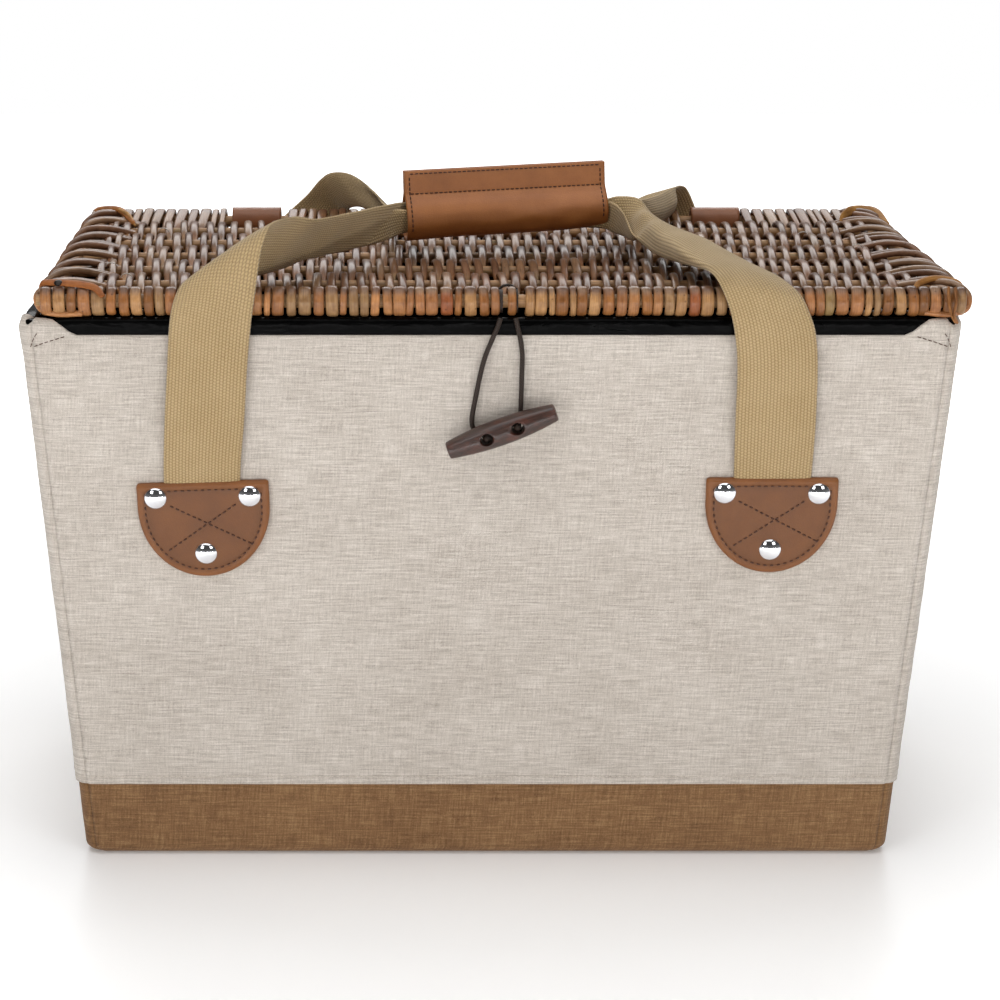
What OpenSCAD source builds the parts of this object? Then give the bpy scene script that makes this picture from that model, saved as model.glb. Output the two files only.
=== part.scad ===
// Picnic basket: a tapered, fabric-covered body with a woven willow lid, two webbing handles
// that meet in a leather grip, and a wooden toggle closed by a cord loop.
// Millimetres. Origin: middle of the base, on the ground. +Z up, the front faces -Y.

/* [Body] */
// Width of the body across the top of the canvas
top_w = 498; // [470:1:520]
// Width of the body at the ground
bottom_w = 452; // [430:1:466]
// Depth of the body across the top of the canvas
top_d = 292; // [284:1:304]
// Depth of the body at the ground
bottom_d = 256; // [246:1:262]
// Height of the canvas's straight top edge
canvas_h = 300; // [296:1:302]
// Height of the brown band above the ground
band_h = 43.5; // [30:0.5:60]
// Radius of the body's upright corners
corner_r = 11; // [9:0.5:14]
// Radius of the fabric where it turns under the base
base_round = 6; // [4:0.5:8]
// How far the canvas rises over each top corner
corner_rise = 5.5; // [3:0.5:6]

/* [Wall layers] */
// Thickness of the padded canvas
canvas_t = 2.2; // [1.8:0.1:2.4]
// Thickness of the brown band cloth
band_t = 1; // [0.6:0.1:1]
// Thickness of the stiff boards
board_t = 3; // [2:0.1:3]
// Thickness of the insulating foam
foam_t = 3.9; // [3:0.1:3.9]
// Thickness of the black lining
liner_t = 0.8; // [0.6:0.1:0.9]

/* [Lid] */
// Width of the woven lid
lid_w = 494; // [480:1:500]
// How far the lid sits to the right of the body's middle
lid_shift = 4.5; // [-6:0.5:6]
// Depth of the woven lid
lid_d = 292; // [288:1:294]
// Thickness of the woven lid
lid_t = 16; // [15:0.5:17]
// Number of rods across the lid between its front and back rods
cross_rods = 5; // [3:1:7]
// Diameter of the frame rods of the lid
rod_dia = 7; // [6:0.5:7]

/* [Handles] */
// Width of the cotton webbing
webbing_w = 38; // [34:1:40]
// Thickness of the cotton webbing
webbing_t = 1.8; // [1.4:0.1:2]
// Distance from the middle of the body to each handle tab
tab_x = 152.5; // [150:0.5:156]
// Height of the top edge of the handle tabs above the ground
tab_z = 221.5; // [218:0.5:226]
// Width of a handle tab
tab_w = 70; // [66:1:74]
// Height of a handle tab
tab_h = 53; // [50:1:56]
// Diameter of the rivet caps
rivet_dia = 11.6; // [10:0.2:12]
// Length of the leather grip
grip_l = 115; // [105:1:118]

/* [Toggle] */
// Length of the wooden toggle
toggle_l = 61; // [54:1:64]
// Thickness of the toggle at its middle
toggle_dia = 14; // [12:0.5:14]
// Thickness of the toggle at its ends
toggle_end_dia = 9; // [7:0.5:10]
// Tilt of the toggle, right end up
toggle_tilt = 20.5; // [0:0.5:30]
// Thickness of the loop cord
cord_dia = 2.6; // [2:0.1:2.6]

/* [Hidden] */

$fn = 48;
gap = 0.05;               // clearance between layers that touch
lean_x = atan((top_w - bottom_w) / 2 / canvas_h);
lean_y = atan((top_d - bottom_d) / 2 / canvas_h);
arc_steps = 6;            // facets in each upright corner

// Heights
hem = 8;                  // how far the canvas hangs over the band's top edge
lid_z = canvas_h + 9;
rim_z = lid_z - 0.4;      // top of the collar that the lid rests on
rod_z = lid_z + lid_t / 2;
board_top = rim_z - liner_t - 1;

// Wall layers, measured inwards and square to the wall
board_in = canvas_t + 0.8;
foam_in = board_in + board_t;
liner_in = foam_in + foam_t + 0.15;
collar_in = canvas_t + 0.1;
collar_r = 18;
seam_in = 7;              // the side panels wrap round onto the front and back by this much
corner_gap = 22;          // the boards stop this far from the upright corners

// Base layers
cover_t = 1;
base_board_t = 4;
base_foam_t = 4;
floor_z = cover_t + gap + base_board_t + gap + base_foam_t + gap;
cover_in = 22;

// Tabs and rivets
tab_t = 3.6;
tab_corner = 4;
stub_h = 34;
rivet_side = 25;          // the two upper rivets stand this far to each side
rivet_drop = 9;           // and this far below the tab's top edge
rivet_low = 41.5;         // the third rivet's distance below the top edge
rivet_h = 2.8;
shank_r = 1.9;
hole_r = 2;
washer_r = 5.5;
washer_t = 1.2;

// Lid
rod_r = rod_dia / 2;
cross_r = 3;
edge_r = lid_t / 2;
rod_x = lid_w / 2 - edge_r;
rod_y = lid_d / 2 - edge_r;
binding_t = 1;
binding_l = 24;

// Leather hinges: a loop round the lid's back rod, both ends fixed to the back wall
hinge_x = [-143 + lid_shift, 143 + lid_shift];
hinge_w = 30;
hinge_clear = 0.1;
hinge_t = 1.8;
hinge_loop_r = rod_r + hinge_clear;
hinge_knee = [147.6, 303];
hinge_plate_t = 2.4;
hinge_end_z = 262;
hinge_rivet_z = 276;

// Toggle and loop
toggle_x = 6;
toggle_z = 250.8;
toggle_out = 11;          // distance from the canvas to the toggle's axis
toggle_hole_r = 3;
toggle_hole_x = 8.7;
lashing_r = 1.3;
lashing_y = 5.7;          // distance of the cord in the toggle's back groove from the toggle's axis
toggle_shank_r = 2.1;
hitch_x = [5, 13];
hitch_t = 2.7;
cord_r = cord_dia / 2;
loop_route = [[5, -147.2, 309.6], [3.5, -148.2, 305], [0.5, -148.5, 298], [-3, -148.1, 289],
    [-5.5, -147.6, 279], [-8, -146.9, 266], [-9.8, -146, 254], [-8, -145.5, 248.5],
    [-3, -145, 245.6], [4, -144.8, 244.8], [11, -145, 246.8], [15, -145.4, 251.2],
    [16, -146, 258], [16.3, -146.6, 268], [16.5, -147.4, 280], [16.6, -148, 290],
    [15.6, -148.5, 298], [14, -148.2, 305], [13, -147.2, 309.6]];

// Grip
grip_at = [12, -6, 332.7];
grip_yaw = 9;
grip_roll = 1.7;
leaf_t = 1.6;
tube_r = 11.5;
flap_base = 26;
flap_top = 38;
strip_t = 0.95;           // thickness of each hook-and-loop strip
bundle_t = 4.1;           // webbing folded in half lengthwise, inside the grip
bundle_low = 3.6;
bundle_h = 16;
grip_seam = 1.2;          // space between the two leaves at the fold

canvas_tone = "#c9bfb2";
band_tone = "#7d5a38";
board_tone = "#a88f6d";
foam_tone = "#d9dde0";
liner_tone = "#15151a";
leather_tone = "#8b5a35";
webbing_tone = "#cbb083";
willow_tone = "#8a6248";
rod_tone = "#7a4f2e";
chrome_tone = "#d8d8dc";
dark_wood_tone = "#3a2117";
cord_tone = "#2c1c15";

// ---- helpers ----

function half_w(z) = bottom_w / 2 + z * tan(lean_x);
function half_d(z) = bottom_d / 2 + z * tan(lean_y);

// One level outline of the body, set in from the outside, with rounded corners
function outline(inset, r, z) = [for (q = [0:3]) for (i = [0:arc_steps])
    let (a = q * 90 + i * 90 / arc_steps,
        sx = q == 0 || q == 3 ? 1 : -1,
        sy = q < 2 ? 1 : -1)
    [sx * (half_w(z) - inset - r) + r * cos(a), sy * (half_d(z) - inset - r) + r * sin(a), z]];

// A closed solid through level outlines, lowest first
module loft(rings) {
    n = len(rings[0]);
    last = len(rings) - 1;
    sides = [for (k = [0:last - 1]) for (i = [0:n - 1])
        let (j = (i + 1) % n) [k * n + i, (k + 1) * n + i, (k + 1) * n + j, k * n + j]];
    floor_face = [for (i = [0:n - 1]) i];
    top_face = [for (i = [n - 1:-1:0]) last * n + i];
    polyhedron([for (ring = rings) each ring], concat([floor_face, top_face], sides));
}

// The body's outer form, set in by inset, from z0 to z1
module body_form(inset, z0, z1) {
    r = corner_r - inset;
    loft([outline(inset, r, z0), outline(inset, r, z1)]);
}

// The same from the ground up, turning under at the base
module footed_form(inset, z0, z1) {
    r = corner_r - inset;
    turn = [for (a = [0:22.5:90])
        outline(inset + base_round * (1 - sin(a)), r, z0 + base_round * (1 - cos(a)))];
    loft(concat(turn, [outline(inset, r, z1)]));
}

// Everything between the two seams of the front panel
module front_zone() {
    low = half_w(-1) - seam_in;
    high = half_w(canvas_h + 20) - seam_in;
    rotate([90, 0, 0])
        linear_extrude(top_d)
            polygon([[-low, -1], [low, -1], [high, canvas_h + 20], [-high, canvas_h + 20]]);
}

// A place on the front wall's outer face: local -Y points out, local Z runs up the wall
module on_front(x, z) {
    translate([x, -half_d(z), z]) rotate([lean_y, 0, 0]) children();
}

module on_back(x, z) {
    rotate([0, 0, 180]) on_front(-x, z) children();
}

// A hole or post along local Y from y0 inwards to y1
module along_y(r, y0, y1) {
    translate([0, y0, 0]) rotate([-90, 0, 0]) cylinder(r = r, h = y1 - y0);
}

module rounded_plate(w, d, r, t) {
    linear_extrude(t) {
        square([w - 2 * r, d], center = true);
        square([w, d - 2 * r], center = true);
        for (sx = [-1, 1]) for (sy = [-1, 1])
            translate([sx * (w / 2 - r), sy * (d / 2 - r)]) circle(r);
    }
}

// The three rivet places of a tab, in the tab's own frame
module at_rivets() {
    for (p = [[-rivet_side, -rivet_drop], [rivet_side, -rivet_drop], [0, -rivet_low]])
        translate([p[0], 0, p[1]]) children();
}

// Every place where something passes through the front wall, as one set of bores
module front_bores(r, y0, y1) {
    for (x = [-tab_x, tab_x]) on_front(x, tab_z) at_rivets() along_y(r, y0, y1);
}

module back_bores(r, y0, y1) {
    for (x = [-tab_x, tab_x]) on_back(x, tab_z) at_rivets() along_y(r, y0, y1);
    for (x = hinge_x) on_back(x, hinge_rivet_z) along_y(r, y0, y1);
}

// ---- base ----

module base_cover() {
    color(band_tone)
        rounded_plate(bottom_w - 2 * cover_in, bottom_d - 2 * cover_in, 6, cover_t);
}

module base_board() {
    color(board_tone)
        translate([0, 0, cover_t + gap])
            rounded_plate(bottom_w - 19, bottom_d - 19, 8, base_board_t);
}

module base_foam() {
    color(foam_tone)
        translate([0, 0, cover_t + base_board_t + 2 * gap])
            rounded_plate(bottom_w - 24, bottom_d - 24, 8, base_foam_t);
}

// ---- fabric panels ----

// What is taken off above the canvas's top edge: a step that rises near the corners
module top_trim(half_top) {
    z = canvas_h;
    rotate([90, 0, 0])
        translate([0, 0, -top_w])
            linear_extrude(2 * top_w)
                polygon([[-half_top + 27, z], [half_top - 27, z],
                    [half_top - 16, z + corner_rise], [half_top - 6, z + corner_rise],
                    [half_top + 9, z - 4], [half_top + 9, z + 20], [-half_top - 9, z + 20],
                    [-half_top - 9, z - 4], [-half_top + 6, z + corner_rise],
                    [-half_top + 16, z + corner_rise]]);
}

module canvas_shell() {
    difference() {
        body_form(0, band_h, canvas_h + corner_rise + 2);
        body_form(canvas_t, band_h + hem, canvas_h + 20);
        body_form(band_t + 0.2, band_h - 5, band_h + hem + gap);
        top_trim(half_w(canvas_h));
        rotate([0, 0, 90]) top_trim(half_d(canvas_h));
    }
}

module front_canvas() {
    color(canvas_tone)
        difference() {
            intersection() {
                canvas_shell();
                front_zone();
            }
            front_bores(hole_r, -1, 4);
            on_front(toggle_x, toggle_z) along_y(toggle_shank_r + 0.1, -1, 4);
        }
}

module back_canvas() {
    color(canvas_tone)
        difference() {
            intersection() {
                canvas_shell();
                rotate([0, 0, 180]) front_zone();
            }
            back_bores(hole_r, -1, 4);
        }
}

// Side panels wrap round the upright corners to the seams
module side_panel(side) {
    difference() {
        intersection() {
            children();
            translate([side > 0 ? 0 : -top_w, -top_d, -1]) cube([top_w, 2 * top_d, canvas_h + 20]);
        }
        front_zone();
        rotate([0, 0, 180]) front_zone();
    }
}

module left_canvas() {
    color(canvas_tone) side_panel(-1) canvas_shell();
}

module right_canvas() {
    color(canvas_tone) side_panel(1) canvas_shell();
}

module band_shell() {
    difference() {
        footed_form(band_t + 0.2, 0, band_h + hem);
        footed_form(2 * band_t + 0.2, band_t, band_h + hem + 1);
        translate([0, 0, -1])
            rounded_plate(bottom_w - 2 * cover_in + 2 * gap, bottom_d - 2 * cover_in + 2 * gap,
                6 + gap, cover_t + 2);
    }
}

module front_band() {
    color(band_tone)
        intersection() {
            band_shell();
            front_zone();
        }
}

module back_band() {
    color(band_tone)
        intersection() {
            band_shell();
            rotate([0, 0, 180]) front_zone();
        }
}

module left_band() {
    color(band_tone) side_panel(-1) band_shell();
}

module right_band() {
    color(band_tone) side_panel(1) band_shell();
}

// ---- stiff boards and foam ----

// A flat panel inside a front or back wall, from inset y0 to y1 and height z0 to the rim
module long_panel(y0, y1, z0) {
    low = half_w(z0) - corner_gap;
    high = half_w(board_top) - corner_gap;
    rise = (board_top - z0) / cos(lean_y);
    on_front(0, z0)
        translate([0, y1, 0])
            rotate([90, 0, 0])
                linear_extrude(y1 - y0)
                    polygon([[-low, 0], [low, 0], [high, rise], [-high, rise]]);
}

module side_wall_panel(y0, y1, z0) {
    low = half_d(z0) - corner_gap;
    high = half_d(board_top) - corner_gap;
    rise = (board_top - z0) / cos(lean_x);
    rotate([0, 0, 90])
        translate([0, -half_w(z0), z0])
            rotate([lean_x, 0, 0])
                translate([0, y1, 0])
                    rotate([90, 0, 0])
                        linear_extrude(y1 - y0)
                            polygon([[-low, 0], [low, 0], [high, rise], [-high, rise]]);
}

module wall_board(side) {
    color(board_tone)
        if (side == "front") difference() {
            long_panel(board_in, foam_in - gap, base_board_t + 1.6);
            front_bores(hole_r, 0, foam_in + 1);
            on_front(toggle_x, toggle_z) along_y(toggle_shank_r + 0.1, 0, foam_in + 1);
        }
        else if (side == "back") difference() {
            rotate([0, 0, 180]) long_panel(board_in, foam_in - gap, base_board_t + 1.6);
            back_bores(hole_r, 0, foam_in + 1);
        }
        else if (side == "right") side_wall_panel(board_in, foam_in - gap, base_board_t + 1.6);
        else rotate([0, 0, 180]) side_wall_panel(board_in, foam_in - gap, base_board_t + 1.6);
}

module wall_foam(side) {
    color(foam_tone)
        if (side == "front") difference() {
            long_panel(foam_in, foam_in + foam_t, floor_z);
            front_bores(washer_r + 0.3, 0, foam_in + washer_t + 0.1);
            on_front(toggle_x, toggle_z) along_y(washer_r + 0.3, 0, foam_in + 2.7);
        }
        else if (side == "back") difference() {
            rotate([0, 0, 180]) long_panel(foam_in, foam_in + foam_t, floor_z);
            back_bores(washer_r + 0.3, 0, foam_in + washer_t + 0.1);
        }
        else if (side == "right") side_wall_panel(foam_in, foam_in + foam_t, floor_z);
        else rotate([0, 0, 180]) side_wall_panel(foam_in, foam_in + foam_t, floor_z);
}

// ---- lining ----

module liner_bag() {
    inner = liner_in + liner_t;
    color(liner_tone)
        difference() {
            loft([outline(liner_in, 8, floor_z + gap), outline(liner_in, 8, rim_z)]);
            loft([outline(inner, 8 - liner_t, floor_z + gap + liner_t),
                outline(inner, 8 - liner_t, rim_z + 5)]);
        }
}

// The lining turned over the top of the boards, with its edge tucked behind the canvas
module liner_collar() {
    low = canvas_h - 14;
    color(liner_tone)
        difference() {
            loft([outline(collar_in, collar_r, low), outline(collar_in, collar_r, rim_z)]);
            loft([outline(collar_in + liner_t - 0.15, collar_r - liner_t, low - 1),
                outline(collar_in + liner_t - 0.15, collar_r - liner_t, rim_z - liner_t)]);
            loft([outline(liner_in - gap, 8 + gap, low), outline(liner_in - gap, 8 + gap, rim_z + 1)]);
        }
}

// ---- handle tabs ----

module tab_shape() {
    r = tab_w / 2;
    translate([-tab_w / 2, -(tab_h - r)]) square([tab_w, tab_h - r - tab_corner]);
    translate([-tab_w / 2 + tab_corner, -tab_corner - 1]) square([tab_w - 2 * tab_corner, tab_corner + 1]);
    for (s = [-1, 1]) translate([s * (tab_w / 2 - tab_corner), -tab_corner]) circle(tab_corner);
    intersection() {
        translate([0, -(tab_h - r)]) circle(r);
        translate([-tab_w, -2 * tab_h]) square([2 * tab_w, tab_h + r]);
    }
}

// The webbing's sewn end lies in a recess behind the leather
module leather_tab() {
    color(leather_tone)
        difference() {
            rotate([90, 0, 0]) linear_extrude(tab_t) tab_shape();
            translate([-webbing_w / 2 - 0.2, -webbing_t - 0.1, -stub_h - 0.2])
                cube([webbing_w + 0.4, webbing_t + 1, stub_h + 5]);
            at_rivets() along_y(hole_r, -tab_t - 1, 1);
        }
}

module webbing_stub() {
    color(webbing_tone)
        translate([-webbing_w / 2, -webbing_t, -stub_h])
            cube([webbing_w, webbing_t - gap, stub_h]);
}

// Domed cap outside the tab and a shank through to the washer inside
module rivet(cap_y, end_y) {
    dome_r = (pow(rivet_dia / 2, 2) + rivet_h * rivet_h) / (2 * rivet_h);
    color(chrome_tone) {
        intersection() {
            translate([0, cap_y - rivet_h + dome_r, 0]) sphere(dome_r);
            along_y(rivet_dia, cap_y - rivet_h - 1, cap_y);
        }
        along_y(shank_r, cap_y - 0.5, end_y);
    }
}

module rivet_washer() {
    color(chrome_tone)
        difference() {
            along_y(washer_r, foam_in, foam_in + washer_t);
            along_y(shank_r, foam_in - 1, foam_in + washer_t + 1);
        }
}

module front_tab_rivets() {
    for (x = [-tab_x, tab_x]) on_front(x, tab_z) at_rivets() rivet(-tab_t, foam_in + washer_t);
}

module back_tab_rivets() {
    for (x = [-tab_x, tab_x]) on_back(x, tab_z) at_rivets() rivet(-tab_t, foam_in + washer_t);
}

module tab_washers() {
    for (x = [-tab_x, tab_x]) {
        on_front(x, tab_z) at_rivets() rivet_washer();
        on_back(x, tab_z) at_rivets() rivet_washer();
    }
}

// ---- leather hinges ----

// A flat strap between two points of the YZ plane, hinge_w wide
module strap_run(a, b, t) {
    angle = atan2(b[1] - a[1], b[0] - a[0]);
    rotate([90, 0, 90])
        linear_extrude(hinge_w, center = true)
            translate(a) rotate(angle) translate([0, -t / 2]) square([norm(b - a), t]);
}

module hinge_strap(x) {
    plate_y = half_d(hinge_end_z) + hinge_plate_t / 2 + gap;
    color(leather_tone)
        translate([x, 0, 0])
            difference() {
                union() {
                    translate([0, rod_y, rod_z])
                        rotate([0, 90, 0])
                            cylinder(r = hinge_loop_r + hinge_t, h = hinge_w, center = true);
                    strap_run([rod_y + hinge_loop_r + hinge_t / 2, rod_z], hinge_knee, hinge_t - 0.1);
                    strap_run(hinge_knee, [plate_y, hinge_end_z], hinge_plate_t);
                    translate([0, hinge_knee[0], hinge_knee[1]])
                        rotate([0, 90, 0])
                            cylinder(d = hinge_plate_t + 0.2, h = hinge_w, center = true);
                }
                translate([0, rod_y, rod_z])
                    rotate([0, 90, 0]) cylinder(r = hinge_loop_r, h = hinge_w + 2, center = true);
                translate([-x, 0, 0]) back_bores(hole_r, -6, 1);
            }
}

module hinge_rivets() {
    for (x = hinge_x) on_back(x, hinge_rivet_z) rivet(-2.7, foam_in + washer_t);
}

module hinge_washers() {
    for (x = hinge_x) on_back(x, hinge_rivet_z) rivet_washer();
}

// ---- lid ----

module long_rod(y, r, length) {
    translate([lid_shift, y, rod_z]) rotate([0, 90, 0]) cylinder(r = r, h = length, center = true);
}

module side_rod(x, r, length) {
    translate([x + lid_shift, 0, rod_z])
        rotate([90, 0, 0]) cylinder(r = r, h = length, center = true);
}

module lid_front_rod() {
    color(rod_tone) long_rod(-rod_y, rod_r, 2 * rod_x + 10);
}

module lid_back_rod() {
    color(rod_tone) long_rod(rod_y, rod_r, 2 * rod_x + 10);
}

module lid_left_rod() {
    color(rod_tone) side_rod(-rod_x, rod_r, 2 * (rod_y - rod_r) - 0.4);
}

module lid_right_rod() {
    color(rod_tone) side_rod(rod_x, rod_r, 2 * (rod_y - rod_r) - 0.4);
}

function cross_y(i) = -rod_y + (i + 1) * 2 * rod_y / (cross_rods + 1);

module lid_cross_rods() {
    color(rod_tone)
        for (i = [0:cross_rods - 1]) long_rod(cross_y(i), cross_r, 2 * (rod_x - rod_r) - 0.4);
}

// The lid's outer form: a slab with round edges
module lid_form(grow) {
    r = edge_r + grow;
    translate([lid_shift - rod_x, -rod_y, rod_z - r]) cube([2 * rod_x, 2 * rod_y, 2 * r]);
    for (y = [-rod_y, rod_y]) long_rod(y, r, 2 * rod_x);
    for (x = [-rod_x, rod_x]) side_rod(x, r, 2 * rod_y);
    for (x = [-rod_x, rod_x]) for (y = [-rod_y, rod_y])
        translate([x + lid_shift, y, rod_z]) sphere(r);
}

// The woven strands as one slab, open where the hinges and the loop's hitch pass
module lid_weave() {
    color(willow_tone)
        difference() {
            lid_form(0);
            long_rod(-rod_y, rod_r + gap, 2 * rod_x + 10.2);
            long_rod(rod_y, rod_r + gap, 2 * rod_x + 10.2);
            for (x = [-rod_x, rod_x]) side_rod(x, rod_r + gap, 2 * (rod_y - rod_r));
            for (i = [0:cross_rods - 1])
                long_rod(cross_y(i), cross_r + gap, 2 * (rod_x - rod_r));
            for (x = hinge_x)
                translate([x - hinge_w / 2 - 0.6, rod_y - 6.6, lid_z - 1])
                    cube([hinge_w + 1.2, 20, lid_t + 2]);
            for (x = hitch_x)
                translate([x - hitch_t / 2 - 0.2, -lid_d / 2 - 1, lid_z - 1])
                    cube([hitch_t + 0.4, edge_r + 8, lid_t + 2]);
        }
}

// Split-willow bindings over the top and side of the slab near its corners
module lid_corner_bindings() {
    color("#b3824f")
        for (sx = [-1, 1]) for (sy = [-1, 1])
            intersection() {
                difference() {
                    lid_form(binding_t);
                    lid_form(0);
                }
                translate([lid_shift + (sx > 0 ? rod_x - 16 : -rod_x - 20),
                    sy > 0 ? rod_y - binding_l - 6 : -rod_y + 6, lid_z + 1])
                    cube([36, binding_l, lid_t + 4]);
            }
}

// Two turns of cord round the front rod, one to each side of a strand
module loop_hitch() {
    color(cord_tone)
        for (x = hitch_x)
            translate([x, -rod_y, rod_z])
                rotate([0, 90, 0])
                    difference() {
                        cylinder(r = rod_r + hitch_t, h = hitch_t, center = true);
                        cylinder(r = rod_r + gap / 2, h = hitch_t + 2, center = true);
                    }
}

// ---- toggle ----

// Half-width of the toggle at a distance along it
function toggle_r(s) = toggle_end_dia / 2
    + (toggle_dia - toggle_end_dia) / 2 * (1 - pow(2 * s / toggle_l, 2));

module on_toggle() {
    on_front(toggle_x, toggle_z) rotate([0, -toggle_tilt, 0]) children();
}

module toggle() {
    steps = 12;
    color(dark_wood_tone)
        on_toggle()
            translate([0, -toggle_out, 0])
                difference() {
                    rotate([0, 90, 0])
                        rotate_extrude()
                            polygon(concat([[0, -toggle_l / 2]],
                                [for (i = [0:steps]) let (s = toggle_l * (i / steps - 0.5))
                                    [toggle_r(s), s]],
                                [[0, toggle_l / 2]]));
                    for (s = [-1, 1])
                        translate([s * toggle_hole_x, 0, 0]) along_y(toggle_hole_r, -20, 20);
                    translate([-toggle_hole_x, lashing_y - lashing_r - 0.2, -lashing_r - 0.2])
                        cube([2 * toggle_hole_x, 20, 2 * lashing_r + 0.4]);
                    along_y(toggle_shank_r + 0.1, lashing_y - lashing_r - 0.2, 20);
                }
}

// The cord that holds the toggle: knotted inside both holes, laid in the groove in the toggle's
// back, and taken through the wall as one shank
module toggle_lashing() {
    knot = -toggle_out - 2.2;
    bar = -toggle_out + lashing_y;
    color(cord_tone)
        on_toggle() {
            for (s = [-1, 1])
                translate([s * toggle_hole_x, 0, 0]) along_y(lashing_r, knot, bar);
            for (s = [-1, 1])
                translate([s * toggle_hole_x, knot, 0]) sphere(lashing_r * 1.6);
            translate([0, bar, 0]) rotate([0, 90, 0])
                cylinder(r = lashing_r, h = 2 * toggle_hole_x, center = true);
            along_y(toggle_shank_r, bar, foam_in + 2.4);
        }
}

module toggle_washer() {
    color(chrome_tone)
        on_front(toggle_x, toggle_z)
            difference() {
                along_y(washer_r, foam_in, foam_in + washer_t);
                along_y(toggle_shank_r + 0.1, foam_in - 1, foam_in + washer_t + 1);
            }
}

// ---- loop cord ----

// A round tube along route points, from rings square to the route
function unit(v) = v / norm(v);
function heading(p, i) = unit(p[min(i + 1, len(p) - 1)] - p[max(i - 1, 0)]);

module cord_tube(p, r) {
    sides = 8;
    n = len(p);
    points = [for (i = [0:n - 1])
        let (t = heading(p, i), u = unit(cross(t, [0, 1, 0])), v = cross(t, u))
        for (k = [0:sides - 1]) p[i] + r * (cos(k * 360 / sides) * u + sin(k * 360 / sides) * v)];
    walls = [for (i = [0:n - 2]) for (k = [0:sides - 1])
        let (a = i * sides + k, b = i * sides + (k + 1) % sides)
        each [[a, a + sides, b + sides], [a, b + sides, b]]];
    near_end = [for (k = [0:sides - 1]) k];
    far_end = [for (k = [sides - 1:-1:0]) (n - 1) * sides + k];
    polyhedron(points, concat([near_end, far_end], walls));
}

module loop_cord() {
    color(cord_tone) cord_tube(loop_route, cord_r);
}

// ---- webbing ----

// Flat webbing over a set of points that lie in its middle
module web_patch(points) {
    hull() for (p = points) translate(p) sphere(d = webbing_t, $fn = 8);
}

// A leg: level bars joined from one to the next, each [x, y, z] of the bar's middle
module web_leg(bars) {
    for (i = [0:len(bars) - 2])
        hull() for (b = [bars[i], bars[i + 1]])
            translate(b) rotate([0, 90, 0])
                cylinder(d = webbing_t, h = webbing_w, center = true, $fn = 12);
}

leg_y = half_d(tab_z) + 1.3;
front_leg_left = [[-154, -leg_y, 222.8], [-151.5, -147.2, 262], [-149, -149.6, 298], [-145.5, -150, 322]];
front_leg_right = [[150.5, -leg_y, 222.8], [153.5, -148.2, 258], [151, -151.6, 296], [144.5, -151, 322]];
back_leg_left = [[-154, leg_y, 222.8], [-142, 150.5, 260], [-122, 153.4, 296], [-110, 153.2, 322]];
back_leg_right = [[152.5, leg_y, 222.8], [142, 150.5, 260], [126, 153.4, 296], [118, 153.2, 322]];

module front_left_leg() {
    color(webbing_tone) web_leg(front_leg_left);
}

module front_right_leg() {
    color(webbing_tone) web_leg(front_leg_right);
}

module back_left_leg() {
    color(webbing_tone) web_leg(back_leg_left);
}

module back_right_leg() {
    color(webbing_tone) web_leg(back_leg_right);
}

module on_grip() {
    translate(grip_at) rotate([0, -grip_roll, grip_yaw]) children();
}

// The folded webbing inside the grip, in front of the middle (side -1) or behind it (side 1)
module web_bundle(side) {
    on_grip()
        translate([-grip_l / 2 - 3, side > 0 ? 0.5 : -0.5 - bundle_t, bundle_low])
            cube([grip_l + 6, bundle_t, bundle_h]);
}

// Two points at an end of the bundle, low and high, where the webbing leaves the grip
function bundle_end(side_x, side_y) = [for (h = [bundle_low + 1, bundle_low + bundle_h - 1])
    let (x = side_x * (grip_l / 2 + 2), y = side_y * (0.5 + bundle_t / 2))
    grip_at + [x * cos(grip_yaw) - y * sin(grip_yaw), x * sin(grip_yaw) + y * cos(grip_yaw),
        h + x * sin(grip_roll)]];

module front_top_webbing() {
    color(webbing_tone) {
        web_patch([[-163.5, -150, 325], [-127.5, -150, 325], [-161, -141, 329], [-121, -103, 350]]);
        web_patch([[-161, -139, 329], [-121, -102, 350], [-104, -104, 331], [-92, -74, 350]]);
        web_patch([[-104, -104, 331], [-92, -74, 350], [-66, -36, 349], [-70, -48, 333]]);
        web_patch(concat([[-66, -36, 349], [-70, -48, 333]], bundle_end(-1, -1)));
        web_bundle(-1);
        web_patch(concat([[86, -22, 349], [92, -44, 336]], bundle_end(1, -1)));
        web_patch([[86, -22, 349], [92, -44, 336], [120, -84, 338], [112, -112, 331]]);
        web_patch([[120, -84, 338], [112, -112, 331], [163, -149, 325], [126, -151, 325]]);
    }
}

module back_top_webbing() {
    color(webbing_tone) {
        web_patch([[-128.5, 153, 325], [-92, 153, 325], [-126, 146, 329], [-94, 108, 348]]);
        web_patch([[-126, 144, 329], [-94, 107, 348], [-84, 112, 331], [-72, 76, 347]]);
        web_patch([[-84, 112, 331], [-72, 76, 347], [-56, 20, 347], [-58, 34, 333]]);
        web_patch(concat([[-56, 20, 347], [-58, 34, 333]], bundle_end(-1, 1)));
        web_bundle(1);
        web_patch(concat([[80, 30, 348], [84, 40, 335]], bundle_end(1, 1)));
        web_patch([[80, 30, 348], [84, 40, 335], [104, 78, 344], [96, 104, 331]]);
        web_patch([[104, 78, 344], [96, 104, 331], [136, 148, 327], [100, 152, 325], [124, 118, 340]]);
    }
}

// ---- grip ----

// Section of one leaf of the grip: half a tube below, a flat flap above
module leaf_section(first_angle) {
    inner = tube_r - leaf_t;
    polygon(concat(
        [for (a = [first_angle:10:90]) [-tube_r * sin(a), tube_r - tube_r * cos(a)]],
        [[-strip_t - gap - leaf_t, flap_base], [-strip_t - gap - leaf_t, flap_top],
            [-strip_t - gap, flap_top], [-strip_t - gap, flap_base]],
        [for (a = [90:-10:first_angle]) [-inner * sin(a), tube_r - inner * cos(a)]]));
}

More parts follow.
